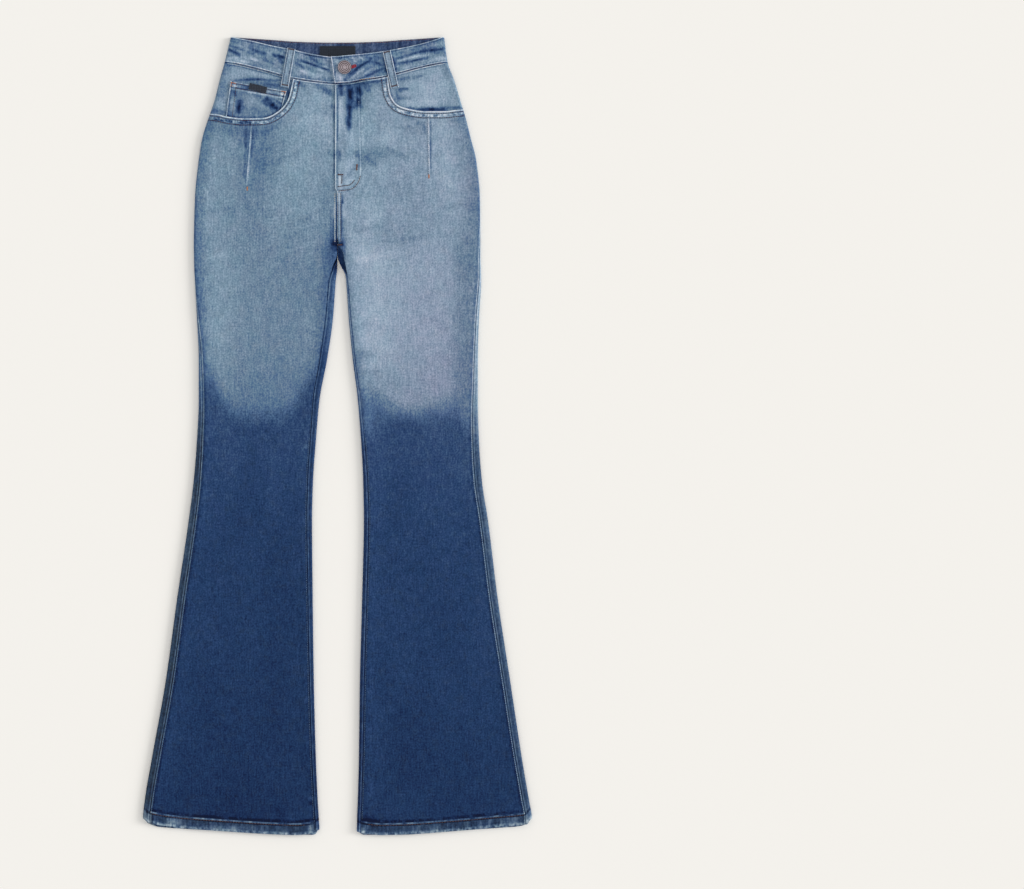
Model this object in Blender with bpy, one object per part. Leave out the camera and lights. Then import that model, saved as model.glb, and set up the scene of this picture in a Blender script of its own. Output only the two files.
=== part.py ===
"""Flared denim jeans, laid flat on their back with the front up.

+X is the wearer's left, +Y runs from the hems to the waist, +Z is up.  The origin is the bottom
centre of the whole garment's box.  Sizes below are millimetres; the meshes are in metres.

Each leg is a flattened tube.  A point of it is given by how far it lies below the waist (its drop),
by the fold it is measured from ("out" at the side, "in" at the inner leg or the centre line), by the
distance along the cloth from that fold (positive over the top, negative underneath) and by how far
it is lifted off the cloth's outer face.
"""
import math
from collections import namedtuple

import bmesh
import bpy
from mathutils import Vector

MM = 0.001

# Overall sizes
LENGTH = 1116.0
TOP_Y = LENGTH / 2
DENIM = 1.3
BAND = 2.0
THIN = 1.0
HEM_THICK = 2.2
GAP = 0.3
SEAM = 0.15
FOLD_R = 2.8
BAND_FOLD_R = 3.0
UNDER_LIFT = 1.3
HEM_DEPTH = 15.0
CROTCH = 293.0
HIP_ROW = 157.0

# Half widths of the two legs at each drop, from the centre line to the outer and inner folds
Section = namedtuple("Section", "drop right_out right_in left_in left_out")
SECTIONS = [
    Section(0, 149.3, 0.15, 0.15, 149.3),
    Section(36, 158.0, 0.15, 0.15, 154.5),
    Section(59, 164.5, 0.15, 0.15, 163.0),
    Section(87, 171.5, 0.15, 0.15, 171.5),
    Section(115, 181.0, 0.15, 0.15, 180.0),
    Section(143, 189.5, 0.15, 0.15, 187.0),
    Section(171, 194.0, 0.15, 0.15, 194.0),
    Section(227, 199.5, 0.15, 0.15, 199.5),
    Section(293, 201.0, 0.15, 3.0, 200.0),
    Section(303, 200.8, 0.15, 8.2, 200.0),
    Section(320, 200.5, 0.15, 9.4, 200.5),
    Section(340, 199.5, 2.2, 12.0, 201.0),
    Section(395, 196.5, 6.4, 16.0, 198.0),
    Section(451, 194.0, 14.5, 21.5, 196.5),
    Section(507, 194.0, 25.0, 28.5, 196.5),
    Section(563, 196.5, 30.0, 33.0, 198.0),
    Section(619, 201.0, 34.0, 36.0, 202.0),
    Section(675, 208.0, 35.5, 37.0, 210.5),
    Section(787, 224.5, 34.5, 34.5, 224.5),
    Section(899, 240.0, 33.0, 31.5, 241.5),
    Section(1011, 260.0, 30.0, 30.0, 258.5),
    Section(1067, 269.5, 27.5, 28.5, 268.0),
    Section(1092, 272.0, 26.0, 27.5, 272.0),
    Section(1116, 272.0, 24.5, 27.0, 272.0),
]

# How far over the top, along the cloth from each fold, the side seams and inner seams lie
SeamLine = namedtuple("SeamLine", "drop right_side right_inner left_side left_inner")
SEAM_LINES = [
    SeamLine(0, 0.0, 0.0, 0.0, 0.0),
    SeamLine(240, 0.0, 0.0, 0.0, 0.0),
    SeamLine(293, 0.0, 0.0, 2.4, 0.0),
    SeamLine(303, 0.0, 0.4, 3.0, 0.2),
    SeamLine(309, 0.0, 2.5, 3.4, 1.2),
    SeamLine(320, 0.0, 7.5, 4.0, 3.8),
    SeamLine(345, 0.6, 11.4, 5.0, 4.6),
    SeamLine(365, 1.2, 11.8, 5.8, 4.9),
    SeamLine(425, 5.1, 12.2, 6.5, 5.6),
    SeamLine(479, 7.2, 11.8, 8.0, 6.1),
    SeamLine(535, 8.6, 10.3, 10.0, 6.8),
    SeamLine(675, 11.4, 9.3, 12.0, 9.0),
    SeamLine(1116, 12.1, 7.2, 10.6, 7.6),
]

# Height of the front's outer face half way across each layer of the garment
Level = namedtuple("Level", "drop middle")
LEVELS = [
    Level(0, 5.6),
    Level(36, 5.2),
    Level(200, 4.9),
    Level(300, 4.5),
    Level(500, 4.1),
    Level(760, 3.9),
    Level(1000, 4.0),
    Level(1116, 4.9),
]

# Bottom edges: drop of the hem's edge at each share of the way from the side fold to the inner fold
Hem = namedtuple("Hem", "share right left")
HEMS = [
    Hem(0.0, 1092.5, 1092.5),
    Hem(0.04, 1099.0, 1101.0),
    Hem(0.20, 1105.5, 1105.0),
    Hem(0.45, 1110.5, 1110.5),
    Hem(0.75, 1115.0, 1115.5),
    Hem(0.87, 1116.0, 1116.0),
    Hem(0.95, 1114.5, 1114.0),
    Hem(1.0, 1108.0, 1111.0),
]

# Waist lines by distance from the centre line: where the waistband's seam and edge lie
Waist = namedtuple("Waist", "away right_seam right_edge left_seam left_edge back_seam back_edge")
WAISTS = [
    Waist(0, 65.8, 28.5, 65.8, 27.0, 41.0, 7.5),
    Waist(14, 64.8, 27.0, 65.0, 25.5, 41.0, 7.5),
    Waist(36, 62.5, 23.5, 61.0, 23.5, 40.5, 7.0),
    Waist(62, 58.5, 17.5, 57.0, 20.0, 40.0, 6.0),
    Waist(88, 51.5, 12.5, 50.5, 15.5, 39.0, 4.0),
    Waist(118, 43.5, 5.5, 42.5, 9.0, 37.5, 2.0),
    Waist(139, 38.5, 1.5, 38.0, 3.0, 36.5, 0.5),
    Waist(149, 36.8, 0.2, 36.5, 0.5, 36.0, 0.0),
    Waist(158, 36.0, 0.0, 35.5, 0.0, 36.0, 0.0),
]

# The front's top edge: pocket opening from the side fold inwards, then the waist seam.
# inset is measured from the side fold at that drop, away from the centre line.
PocketEdge = namedtuple("PocketEdge", "inset right_away right_drop left_away left_drop")
POCKET_EDGE = [
    PocketEdge(0.0, 0.0, 106.8, 0.0, 101.0),
    PocketEdge(0.8, 0.0, 107.0, 0.0, 101.0),
    PocketEdge(2.8, 0.0, 107.5, 0.0, 101.5),
    PocketEdge(14.0, 0.0, 110.5, 0.0, 103.0),
    PocketEdge(0.0, 157.0, 113.0, 152.0, 104.5),
    PocketEdge(0.0, 130.0, 116.5, 124.0, 105.0),
    PocketEdge(0.0, 104.0, 115.5, 99.0, 101.5),
    PocketEdge(0.0, 83.0, 105.5, 84.0, 95.5),
    PocketEdge(0.0, 67.5, 88.0, 74.5, 80.0),
    PocketEdge(0.0, 61.6, 58.6, 70.6, 54.9),
]

# Soft creases of the lying cloth: from one end to the other, with width and height
Crease = namedtuple("Crease", "away0 drop0 away1 drop1 width height")
RIGHT_CREASES = [
    Crease(30, 280, 120, 215, 26, 0.5),
    Crease(40, 315, 150, 290, 30, 0.4),
    Crease(60, 500, 160, 470, 34, 0.4),
    Crease(70, 600, 150, 640, 36, 0.4),
    Crease(90, 760, 190, 800, 40, 0.3),
    Crease(60, 980, 120, 900, 40, 0.3),
]
LEFT_CREASES = [
    Crease(30, 275, 130, 230, 26, 0.5),
    Crease(50, 330, 150, 300, 30, 0.4),
    Crease(60, 470, 170, 505, 34, 0.4),
    Crease(80, 620, 160, 590, 36, 0.4),
    Crease(90, 820, 180, 770, 40, 0.3),
    Crease(70, 930, 140, 1000, 40, 0.3),
]

# Rows of the panels below the hip, the same for front and back so that their seams agree
DROPS = [157, 180, 200, 212, 217, 228, 248, 262, 275, 284, 293, 298, 303, 309, 320, 340, 370, 400,
         440, 480, 520, 560, 610, 660, 720, 780, 840, 900, 960, 1020, 1060]


# ---------------------------------------------------------------- small mathematics

def lerp(a, b, t):
    return a + (b - a) * t


def ramp(value, low, high):
    """0 below low, 1 above high, with a soft change between them."""
    t = min(1.0, max(0.0, (value - low) / (high - low)))
    return t * t * (3.0 - 2.0 * t)


def read(table, column, at):
    """Value of a column at a place along the table's first column, on a curve without overshoot."""
    xs = [row[0] for row in table]
    ys = [getattr(row, column) for row in table]
    if at <= xs[0]:
        return ys[0]
    if at >= xs[-1]:
        return ys[-1]
    k = max(i for i in range(len(xs) - 1) if xs[i] <= at)
    slopes = [(ys[i + 1] - ys[i]) / (xs[i + 1] - xs[i]) for i in range(len(xs) - 1)]

    def tangent(i):
        if i == 0 or i == len(xs) - 1:
            return slopes[min(i, len(slopes) - 1)]
        a, b = slopes[i - 1], slopes[i]
        return 0.0 if a * b <= 0.0 else 2.0 * a * b / (a + b)

    h = xs[k + 1] - xs[k]
    t = (at - xs[k]) / h
    return (ys[k] * (1 + 2 * t) * (1 - t) ** 2 + h * tangent(k) * t * (1 - t) ** 2
            + ys[k + 1] * t * t * (3 - 2 * t) + h * tangent(k + 1) * t * t * (t - 1))


# ---------------------------------------------------------------- form of the lying garment

QUARTER = math.pi / 2 * FOLD_R


def outer_fold(side, drop):
    return read(SECTIONS, side + "_out", drop)


def inner_fold(side, drop, layer="front"):
    """The inner leg's fold, or above the crotch the centre line, where one front passes under the other."""
    away = read(SECTIONS, side + "_in", drop) if drop > CROTCH - 9 else SEAM
    if layer == "back":
        return lerp(SEAM, away, ramp(drop, 298, 309))
    if side == "right":
        return away - 6.2 * (1 - ramp(drop, 190, 209))
    return away - 3.05 * (1 - ramp(drop, 212, 217))


def curl(drop, layer="front"):
    """0 where a layer runs flat to the centre seam, 1 where it rolls round the inner leg's fold."""
    return ramp(drop, 296, 309) if layer == "back" else ramp(drop, 286, 298)


def under_height(side, away, drop):
    """Height of the back's outer face: it rides over the patch pockets and rear belt loops."""
    return UNDER_LIFT * ramp(outer_fold(side, drop) - away, 8, 22) * (1 - ramp(drop, 248, 284))


def crease_height(side, away, drop):
    total = 0.0
    for c in RIGHT_CREASES if side == "right" else LEFT_CREASES:
        along = Vector((c.away1 - c.away0, c.drop1 - c.drop0))
        here = Vector((away - c.away0, drop - c.drop0))
        share = here.dot(along) / along.length_squared
        off = abs(here.x * along.y - here.y * along.x) / along.length
        if 0.0 < share < 1.0 and off < c.width:
            total += c.height * math.sin(math.pi * share) * (0.5 + 0.5 * math.cos(math.pi * off / c.width))
    return total


def top_height(side, away, drop):
    """Height of the front's outer face, highest along the folds."""
    middle = read(LEVELS, "middle", drop)
    near = 1 - ramp(outer_fold(side, drop) - away, FOLD_R, 34)
    near += curl(drop) * (1 - ramp(away - inner_fold(side, drop), FOLD_R, 34))
    return middle + (2 * FOLD_R - middle) * min(1.0, near) + crease_height(side, away, drop)


def place(side, drop, end, along, lift, layer="front"):
    """A point on the tube, `along` millimetres of cloth from a fold, lifted off the outer face."""
    edge = outer_fold(side, drop) if end == "out" else inner_fold(side, drop, layer)
    inward = -1.0 if end == "out" else 1.0
    roll = 1.0 if end == "out" else curl(drop, layer)
    top = along >= 0.0 if layer == "front" or roll > 0.0 else False
    reach = abs(along)
    if reach <= QUARTER:
        angle = along / FOLD_R
        round_d = FOLD_R - (FOLD_R + lift) * math.cos(angle)
        round_z = FOLD_R + (FOLD_R + lift) * math.sin(angle)
        flat_d = FOLD_R * reach / QUARTER
        if layer == "back" and along > 0.0:
            flat_d = 0.0
    else:
        round_d = FOLD_R + reach - QUARTER
        round_z = None
        flat_d = 0.0 if layer == "back" and end == "in" and along > 0.0 else round_d
    flat_away = edge + inward * flat_d
    round_away = edge + inward * round_d
    if top and not (layer == "back" and end == "in" and roll < 1.0):
        flat_z = top_height(side, flat_away, drop) + lift
    else:
        flat_z = under_height(side, flat_away, drop) - lift
    if round_z is None:
        round_z = (top_height(side, round_away, drop) + lift if along > 0.0
                   else under_height(side, round_away, drop) - lift)
    return lerp(flat_away, round_away, roll), lerp(flat_z, round_z, roll)


def to_world(side, away, drop, height):
    return Vector(((-away if side == "right" else away) * MM, (TOP_Y - drop) * MM, height * MM))


def cloth_from_fold(inset):
    """Cloth length from a fold's extreme to a point that far in from it."""
    if inset < FOLD_R:
        return FOLD_R * math.acos(1 - inset / FOLD_R)
    return QUARTER + inset - FOLD_R


# ---------------------------------------------------------------- making solids

def paint(name, colour, roughness, metallic=0.0):
    material = bpy.data.materials.new(name)
    material.use_nodes = True
    shader = material.node_tree.nodes["Principled BSDF"]
    shader.inputs["Base Color"].default_value = (*colour, 1.0)
    shader.inputs["Roughness"].default_value = roughness
    shader.inputs["Metallic"].default_value = metallic
    return material


def add_object(name, bm, material):
    bmesh.ops.recalc_face_normals(bm, faces=bm.faces[:])
    mesh = bpy.data.meshes.new(name)
    bm.to_mesh(mesh)
    bm.free()
    mesh.shade_smooth()
    mesh.set_sharp_from_angle(angle=math.radians(40))
    mesh.materials.append(material)
    thing = bpy.data.objects.new(name, mesh)
    bpy.context.collection.objects.link(thing)
    return thing


def cloth_solid(name, across, down, outer, inner, material, slot=None):
    """A grid of cloth with `across` x `down` cells.  outer(i, j) and inner(i, j) give the two faces'
    points at column i and row j.  slot is (first column, last column, first row, last row) left open."""
    bm = bmesh.new()
    bmesh.ops.create_grid(bm, x_segments=across, y_segments=down, size=1.0)
    where = {}
    for vert in bm.verts:
        where[vert] = (round((vert.co.x + 1) / 2 * across), round((1 - vert.co.y) / 2 * down))
    if slot:
        a, b, c, d = slot
        opened = [f for f in bm.faces
                  if all(a <= where[v][0] <= b and c <= where[v][1] <= d for v in f.verts)]
        bmesh.ops.delete(bm, geom=opened, context="FACES_ONLY")
        bmesh.ops.delete(bm, geom=[e for e in bm.edges if not e.link_faces], context="EDGES")
        where = {v: place for v, place in where.items() if v.is_valid}
    outside = bm.verts[:]
    grown = bmesh.ops.extrude_face_region(bm, geom=bm.faces[:], use_keep_orig=True)
    inside = [g for g in grown["geom"] if isinstance(g, bmesh.types.BMVert)]
    bm.verts.index_update()
    for vert in inside:
        near = (round((vert.co.x + 1) / 2 * across), round((1 - vert.co.y) / 2 * down))
        vert.co = inner(*near)
    for vert in outside:
        vert.co = outer(*where[vert])
    return add_object(name, bm, material)


# ---------------------------------------------------------------- panels

def hem_drop(side, share):
    return read(HEMS, side, share)


def wall_thickness(drop, bottom):
    return HEM_THICK if drop > bottom - HEM_DEPTH + 0.4 else DENIM


def seam_along(side, which, drop):
    return read(SEAM_LINES, side + "_" + which, drop)


def pocket_distance(side, away, drop):
    """Distance from the pocket opening's edge."""
    best = 1e9
    points = []
    for row in POCKET_EDGE:
        d = getattr(row, side + "_drop")
        a = getattr(row, side + "_away") or outer_fold(side, d) - row.inset
        points.append(Vector((a, d)))
    here = Vector((away, drop))
    for p, q in zip(points, points[1:]):
        span = q - p
        share = min(1.0, max(0.0, (here - p).dot(span) / span.length_squared))
        best = min(best, (p + span * share - here).length)
    return best


def front_lift(side, away, drop):
    """How far the front rides over what lies beneath it."""
    inset = outer_fold(side, drop) - away
    off = pocket_distance(side, away, drop)
    lift = 0.8 * ramp(inset, 3, 13) * (1 - ramp(off, 28, 46))
    if side == "right":
        lift += 1.3 * ramp(168 - away, 0, 10) * (1 - ramp(off, 8, 20)) * (1 - ramp(66 - away, 0, 12))
    else:
        lift += 1.6 * (1 - ramp(away, 10, 26)) * (1 - ramp(drop, 217, 228))
    return lift


FRONT_COLUMNS = 12
FRONT_OFFSETS = [SEAM, 2.2, 4.4, 15.6]
TOP_SHARES = [0.0, 0.17, 0.5, 1.0]
TRIM = 14.0


def front_top(side, column):
    """Top edge of the front at a column, as distance from the centre line and drop."""
    if column <= 9:
        row = POCKET_EDGE[column]
        drop = getattr(row, side + "_drop")
        away = getattr(row, side + "_away") or outer_fold(side, drop) - row.inset
        return away, drop if column < 9 else read(WAISTS, side + "_seam", away) + SEAM
    if column == 10:
        away = 48.0
    else:
        away = inner_fold(side, 70) + (TRIM if column == 11 else 0.0)
    return away, read(WAISTS, side + "_seam", max(0.0, away)) + SEAM


def front_point(side, column, row, face):
    top_away, top_drop = front_top(side, column)
    rows_top = len(TOP_SHARES) - 1
    share = (column - 3) / 8 if 3 <= column <= 11 else (0.0 if column < 3 else 1.0)
    bottom = hem_drop(side, min(1.0, max(0.0, share)))
    if row < rows_top:
        drop = lerp(top_drop, HIP_ROW, TOP_SHARES[row])
    elif row < rows_top + len(DROPS):
        drop = DROPS[row - rows_top]
    else:
        drop = bottom - (HEM_DEPTH, HEM_DEPTH - 0.8, 0.0)[row - rows_top - len(DROPS)]
    thick = wall_thickness(drop, bottom)
    extra = 0.5 * (thick - DENIM)
    side_along = seam_along(side, "side", drop)
    inner_along = seam_along(side, "inner", drop)
    if column <= 3:
        end, along = "out", side_along + FRONT_OFFSETS[column]
        away = outer_fold(side, drop) - max(0.0, FOLD_R + along - QUARTER)
    elif column >= 12:
        end, along = "in", inner_along + SEAM
        away = inner_fold(side, drop)
    else:
        first = outer_fold(side, drop) - (FOLD_R + side_along + FRONT_OFFSETS[3] - QUARTER)
        last = inner_fold(side, drop) + max(TRIM, inner_along + 9)
        away = lerp(first, last, share)
        if row < rows_top:
            hip_share = (outer_fold(side, drop) - away)
            top_inset = outer_fold(side, top_drop) - top_away
            blend = TOP_SHARES[row] ** 0.8
            away = outer_fold(side, drop) - lerp(top_inset, hip_share, blend)
        end, along = "out", cloth_from_fold(outer_fold(side, drop) - away)
    lift = front_lift(side, away, drop) + extra
    depth = lift if face == "outer" else lift - thick
    a, z = place(side, drop, end, along, depth)
    return to_world(side, a, drop, z)


def make_front(side, material):
    rows = len(TOP_SHARES) - 1 + len(DROPS) + 3 - 1
    return cloth_solid("front_panel_" + side, FRONT_COLUMNS, rows,
                       lambda i, j: front_point(side, i, j, "outer"),
                       lambda i, j: front_point(side, i, j, "inner"), material)


BACK_SHARES = [0.0, 0.17, 0.34, 0.5, 0.75, 1.0]
UNDER_CELLS = 5


def fold_columns(seam, squeeze_end):
    """Cloth lengths of the six columns from a seam round a fold to its underside."""
    nominal = [seam, QUARTER, QUARTER / 2, 0.0, -QUARTER / 2, -QUARTER]
    blend = ramp(seam, 5.2, 8.0)
    return [lerp(lerp(seam, -QUARTER, k / 5), nominal[k], blend) for k in range(6)]


def yoke_drop(away):
    """The yoke's seam slopes down from the side to the centre of the back."""
    return lerp(106.0, 73.0, away / 168.0)


def under_away(side, drop, step):
    """Place on the underside, from beside the outer fold to beside the inner one."""
    return lerp(outer_fold(side, drop) - 22.0, inner_fold(side, drop, "back") + TRIM, step)


def yoke_seam(side, kind, step):
    """Drop of the yoke's seam at a column of either piece that meets there."""
    if kind == "in":
        return yoke_drop(SEAM)
    drop = 80.0
    for _ in range(4):
        away = under_away(side, drop, step) if kind == "under" else outer_fold(side, drop)
        drop = yoke_drop(away)
    return drop


def back_station(column):
    """Column of a back panel: which fold it is measured from, and its place there."""
    if column <= 5:
        return "out", column
    if column <= 5 + UNDER_CELLS:
        return "under", (column - 5) / (UNDER_CELLS + 1)
    return "in", 6 + 5 + UNDER_CELLS - column


def back_point(side, column, row, face):
    kind, step = back_station(column)
    share = 0.0 if kind == "out" else (1.0 if kind == "in" else step)
    rows_top = len(BACK_SHARES) - 1
    bottom = hem_drop(side, share)
    if row < rows_top:
        across = (column - 6) / (UNDER_CELLS - 1)
        drop = lerp(yoke_seam(side, kind, across) + SEAM, HIP_ROW, BACK_SHARES[row])
    elif row < rows_top + len(DROPS):
        drop = DROPS[row - rows_top]
    else:
        drop = bottom - (HEM_DEPTH, HEM_DEPTH - 0.8, 0.0)[row - rows_top - len(DROPS)]
    thick = wall_thickness(drop, bottom)
    depth = 0.0 if face == "outer" else -thick
    if kind == "out":
        along = fold_columns(seam_along(side, "side", drop) - SEAM, 0)[step]
        if along > QUARTER:
            depth += 0.5 * (thick - DENIM)
        a, z = place(side, drop, "out", along, depth, "back")
    elif kind == "in":
        seam = (seam_along(side, "inner", drop) - SEAM) * curl(drop, "back")
        along = fold_columns(seam, 0)[step]
        if along > QUARTER:
            depth += 0.5 * (thick - DENIM)
        a, z = place(side, drop, "in", along, depth, "back")
    else:
        a = under_away(side, drop, (column - 6) / (UNDER_CELLS - 1))
        z = under_height(side, a, drop) - depth
    return to_world(side, a, drop, z)


def make_back(side, material):
    rows = len(BACK_SHARES) - 1 + len(DROPS) + 3 - 1
    return cloth_solid("back_panel_" + side, 6 + UNDER_CELLS + 6 - 1, rows,
                       lambda i, j: back_point(side, i, j, "outer"),
                       lambda i, j: back_point(side, i, j, "inner"), material)


YOKE_COLUMNS = [("out", 0.0), ("out", 0.5), ("out", 1.0), ("under", 0.0), ("under", 0.25),
                ("under", 0.5), ("under", 0.75), ("under", 1.0), ("in", 0.0)]


def yoke_point(side, column, row, face):
    kind, step = YOKE_COLUMNS[column]
    nominal = {"out": 158.0, "in": SEAM, "under": under_away(side, 38.0, step)}[kind]
    top = read(WAISTS, "back_seam", nominal) + SEAM
    drop = lerp(top, yoke_seam(side, kind, step) - SEAM, row / 3)
    depth = 0.0 if face == "outer" else -DENIM
    if kind == "out":
        a, z = place(side, drop, "out", lerp(-SEAM, -QUARTER, step), depth, "back")
    elif kind == "in":
        a = SEAM
        z = under_height(side, a, drop) - depth
    else:
        a = under_away(side, drop, step)
        z = under_height(side, a, drop) - depth
    return to_world(side, a, drop, z)


def make_yoke(side, material):
    return cloth_solid("back_yoke_" + side, len(YOKE_COLUMNS) - 1, 3,
                       lambda i, j: yoke_point(side, i, j, "outer"),
                       lambda i, j: yoke_point(side, i, j, "inner"), material)


# ---------------------------------------------------------------- pocket openings

FACING_INSETS = [SEAM, 2.2, 4.4]
FACING_AT = {"right": (145.0, 128.0, 111.0, 94.0, 78.0, 61.6, 48.0),
             "left": (142.0, 128.0, 114.0, 100.0, 86.0, 70.6, 56.0)}


def facing_bottom(side, away):
    """Drop of the facing's hidden lower edge: it follows the opening, 14 mm further in."""
    drop = getattr(POCKET_EDGE[3], side + "_drop")
    low = max(getattr(row, side + "_drop") for row in POCKET_EDGE)
    fold = outer_fold(side, drop)
    shape = math.sqrt(max(0.0, 1 - ((away - 112.0) / 66.0) ** 2)) if away < 112.0 else 1.0
    reach = lerp(read(WAISTS, side + "_seam", FACING_AT[side][-1]) + 18.0, low + 14.0, shape)
    return lerp(drop - 0.6, reach, ramp(fold - away, 14, 40))


def facing_point(side, column, row, face):
    if column <= 2:
        low = getattr(POCKET_EDGE[column], side + "_drop") - 2 * SEAM
        away = outer_fold(side, 40) - (0.0, 0.8, 2.8)[column]
        high = read(WAISTS, side + "_seam", away) + SEAM
        drop = lerp(high, low, row / 5)
        a, z = place(side, drop, "out", FACING_INSETS[column], 0.0 if face == "outer" else -THIN)
        return to_world(side, a, drop, z)
    base_away = FACING_AT[side][column - 3]
    share = (FACING_AT[side][0] - base_away) / (FACING_AT[side][0] - FACING_AT[side][-1])
    base_drop = read(WAISTS, side + "_seam", base_away) + SEAM
    low_drop = getattr(POCKET_EDGE[3], side + "_drop")
    low_away = lerp(outer_fold(side, low_drop) - 14.0, FACING_AT[side][-1], share)
    low = facing_bottom(side, low_away) if column > 3 else low_drop - 2 * SEAM
    drop = lerp(base_drop, low, row / 5)
    away = lerp(base_away, low_away, row / 5)
    inset = outer_fold(side, drop) - away
    depth = -0.8 * ramp(inset, 3, 13)
    a, z = place(side, drop, "out", cloth_from_fold(inset), depth if face == "outer" else depth - THIN)
    return to_world(side, a, drop, z)


def make_facing(side, material):
    return cloth_solid("pocket_facing_" + side, 2 + len(FACING_AT[side]), 5,
                       lambda i, j: facing_point(side, i, j, "outer"),
                       lambda i, j: facing_point(side, i, j, "inner"), material)


def coin_point(column, row, face):
    """Coin pocket: its top edge slopes in towards the fly, its lower edge hides under the front."""
    u = column / 6
    v = row / 4
    top_a, top_d = lerp(149.0, 71.0, u), lerp(61.5, 75.5, u)
    low_a = lerp(156.5, 79.5, u)
    low_d = (115.0, 120.5, 121.5, 121.5, 119.5, 115.0, 106.5)[column]
    away, drop = lerp(top_a, low_a, v), lerp(top_d, low_d, v)
    depth = -0.8 * ramp(outer_fold("right", drop) - away, 3, 13)
    low = GAP + depth if face == "inner" else GAP + THIN + depth
    return to_world("right", away, drop, top_height("right", away, drop) + low)


def tab_point(column, row, face):
    """Small woven tab lying slantwise over the coin pocket's top edge."""
    along = Vector((-24.5, 6.0)).normalized()
    down = Vector((along.y, -along.x)) * -1.0
    spot = Vector((111.0, 71.5)) + along * lerp(-12.5, 12.5, column / 3) + down * lerp(-4.5, 4.5, row / 2)
    depth = -0.8 * ramp(outer_fold("right", spot.y) - spot.x, 3, 13)
    low = depth + GAP + THIN + GAP
    return to_world("right", spot.x, spot.y,
                    top_height("right", spot.x, spot.y) + low + (THIN if face == "outer" else 0.0))


# ---------------------------------------------------------------- waistband

TAB_END = 5.5
UNDERLAP_END = 34.0
BAND_ROWS = [0.0, 0.18, 0.335, 0.485, 1.0]
Station = namedtuple("Station", "where away")
BAND_STATIONS = (
    [Station("under_tab", -UNDERLAP_END), Station("under_tab", -14.0)]
    + [Station("right_top", a) for a in (8.0, 37.0, 48.0, 61.6, 78.0, 94.0, 111.0, 128.0, 145.0)]
    + [Station("right_fold", a) for a in (90, 45, 0, -45, -90)]
    + [Station("right_back", a) for a in (136.0, 105.5, 75.0, 44.5, 14.0)]
    + [Station("right_back", 0.0)]
    + [Station("left_back", a) for a in (14.0, 44.5, 75.0, 105.5, 136.0)]
    + [Station("left_fold", a) for a in (-90, -45, 0, 45, 90)]
    + [Station("left_top", a) for a in (142.0, 128.0, 114.0, 100.0, 86.0, 70.6, 48.0, 37.0, 26.0,
                                        7.0, -TAB_END)]
)
SLOT_COLUMNS = (len(BAND_STATIONS) - 3, len(BAND_STATIONS) - 2)


def band_level(side, inset):
    """Height of the front waistband's outer face."""
    return lerp(2 * BAND_FOLD_R, 5.6, ramp(inset, BAND_FOLD_R, 30))


def band_point(column, row, face):
    where, spot = BAND_STATIONS[column]
    side = "left" if "left" in where else "right"
    share = BAND_ROWS[row]
    if "fold" in where:
        drop = lerp(0.0, 36.0 - SEAM, share)
        angle = math.radians(spot)
        radius = BAND_FOLD_R if face == "outer" else BAND_FOLD_R - BAND
        away = outer_fold(side, drop) - BAND_FOLD_R + radius * math.cos(angle)
        return to_world(side, away, drop, BAND_FOLD_R + radius * math.sin(angle))
    line = "back" if "back" in where else side
    at = max(0.0, spot)
    if where == "under_tab":
        edge, seam, top_away = 28.5, read(WAISTS, "left_seam", -spot) - 1.5, spot
    else:
        # the sides of the band lean with the folds
        seam = read(WAISTS, line + "_seam", at)
        lean = outer_fold(side, read(WAISTS, line + "_edge", at)) - outer_fold(side, seam)
        top_away = spot + ramp(at, 60, 149) * lean
        edge = read(WAISTS, line + "_edge", max(0.0, top_away))
    drop = lerp(edge, seam - SEAM, share)
    away = lerp(top_away, spot, share)
    if where == "left_top" and spot < 0:
        away = lerp(-8.8, -3.2, share)
    inset = outer_fold(side, drop) - away
    if "back" in where:
        z = UNDER_LIFT * ramp(inset, 8, 22)
        z += 0.0 if face == "outer" else BAND
    else:
        z = band_level(side, inset)
        if side == "left":
            z += (BAND + GAP) * (1 - ramp(away, 38, 52))
        z -= 0.0 if face == "outer" else BAND
    return to_world(side, away, drop, z)


def label_point(column, row, face):
    """Woven label on the inside of the back waistband."""
    away = lerp(-24.5, 25.0, column / 4)
    drop = lerp(10.3, 23.0, row / 2)
    z = UNDER_LIFT + BAND + GAP + (THIN if face == "outer" else 0.0)
    return Vector((away * MM, (TOP_Y - drop) * MM, z * MM))


# ---------------------------------------------------------------- loops, patch pockets, button

LoopRow = namedtuple("LoopRow", "share band_lift")
FRONT_LOOP = [LoopRow(0.0, 0.3), LoopRow(0.3, 0.8), LoopRow(0.6, 0.6), LoopRow(0.76, 0.35),
              LoopRow(0.87, -0.4), LoopRow(1.0, -0.75)]


def front_loop_point(side, column, row, face):
    top_away, top_drop, low_away, low_drop = {
        "right": (64.0, 15.7, 73.8, 70.0), "left": (69.0, 19.6, 80.5, 71.0)}[side]
    step = FRONT_LOOP[row]
    centre = Vector((lerp(top_away, low_away, step.share), lerp(top_drop, low_drop, step.share)))
    run = Vector((low_away - top_away, low_drop - top_drop)).normalized()
    across = Vector((run.y, -run.x)) * lerp(-5.5, 5.5, column / 2)
    spot = centre + across
    base = lerp(5.6, top_height(side, centre.x, centre.y) + 0.25, ramp(step.share, 0.74, 0.95))
    z = base + step.band_lift + (THIN if face == "outer" else 0.0)
    return to_world(side, spot.x, spot.y, z)


def back_loop_point(middle, column, row, face):
    away = middle + lerp(-5.5, 5.5, column / 2)
    at = abs(middle)
    top = read(WAISTS, "back_edge", at)
    low = read(WAISTS, "back_seam", at) + 10.0
    drop = lerp(top, low, row / 3)
    return Vector((away * MM, (TOP_Y - drop) * MM, (THIN if face == "inner" else 0.0) * MM))


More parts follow.
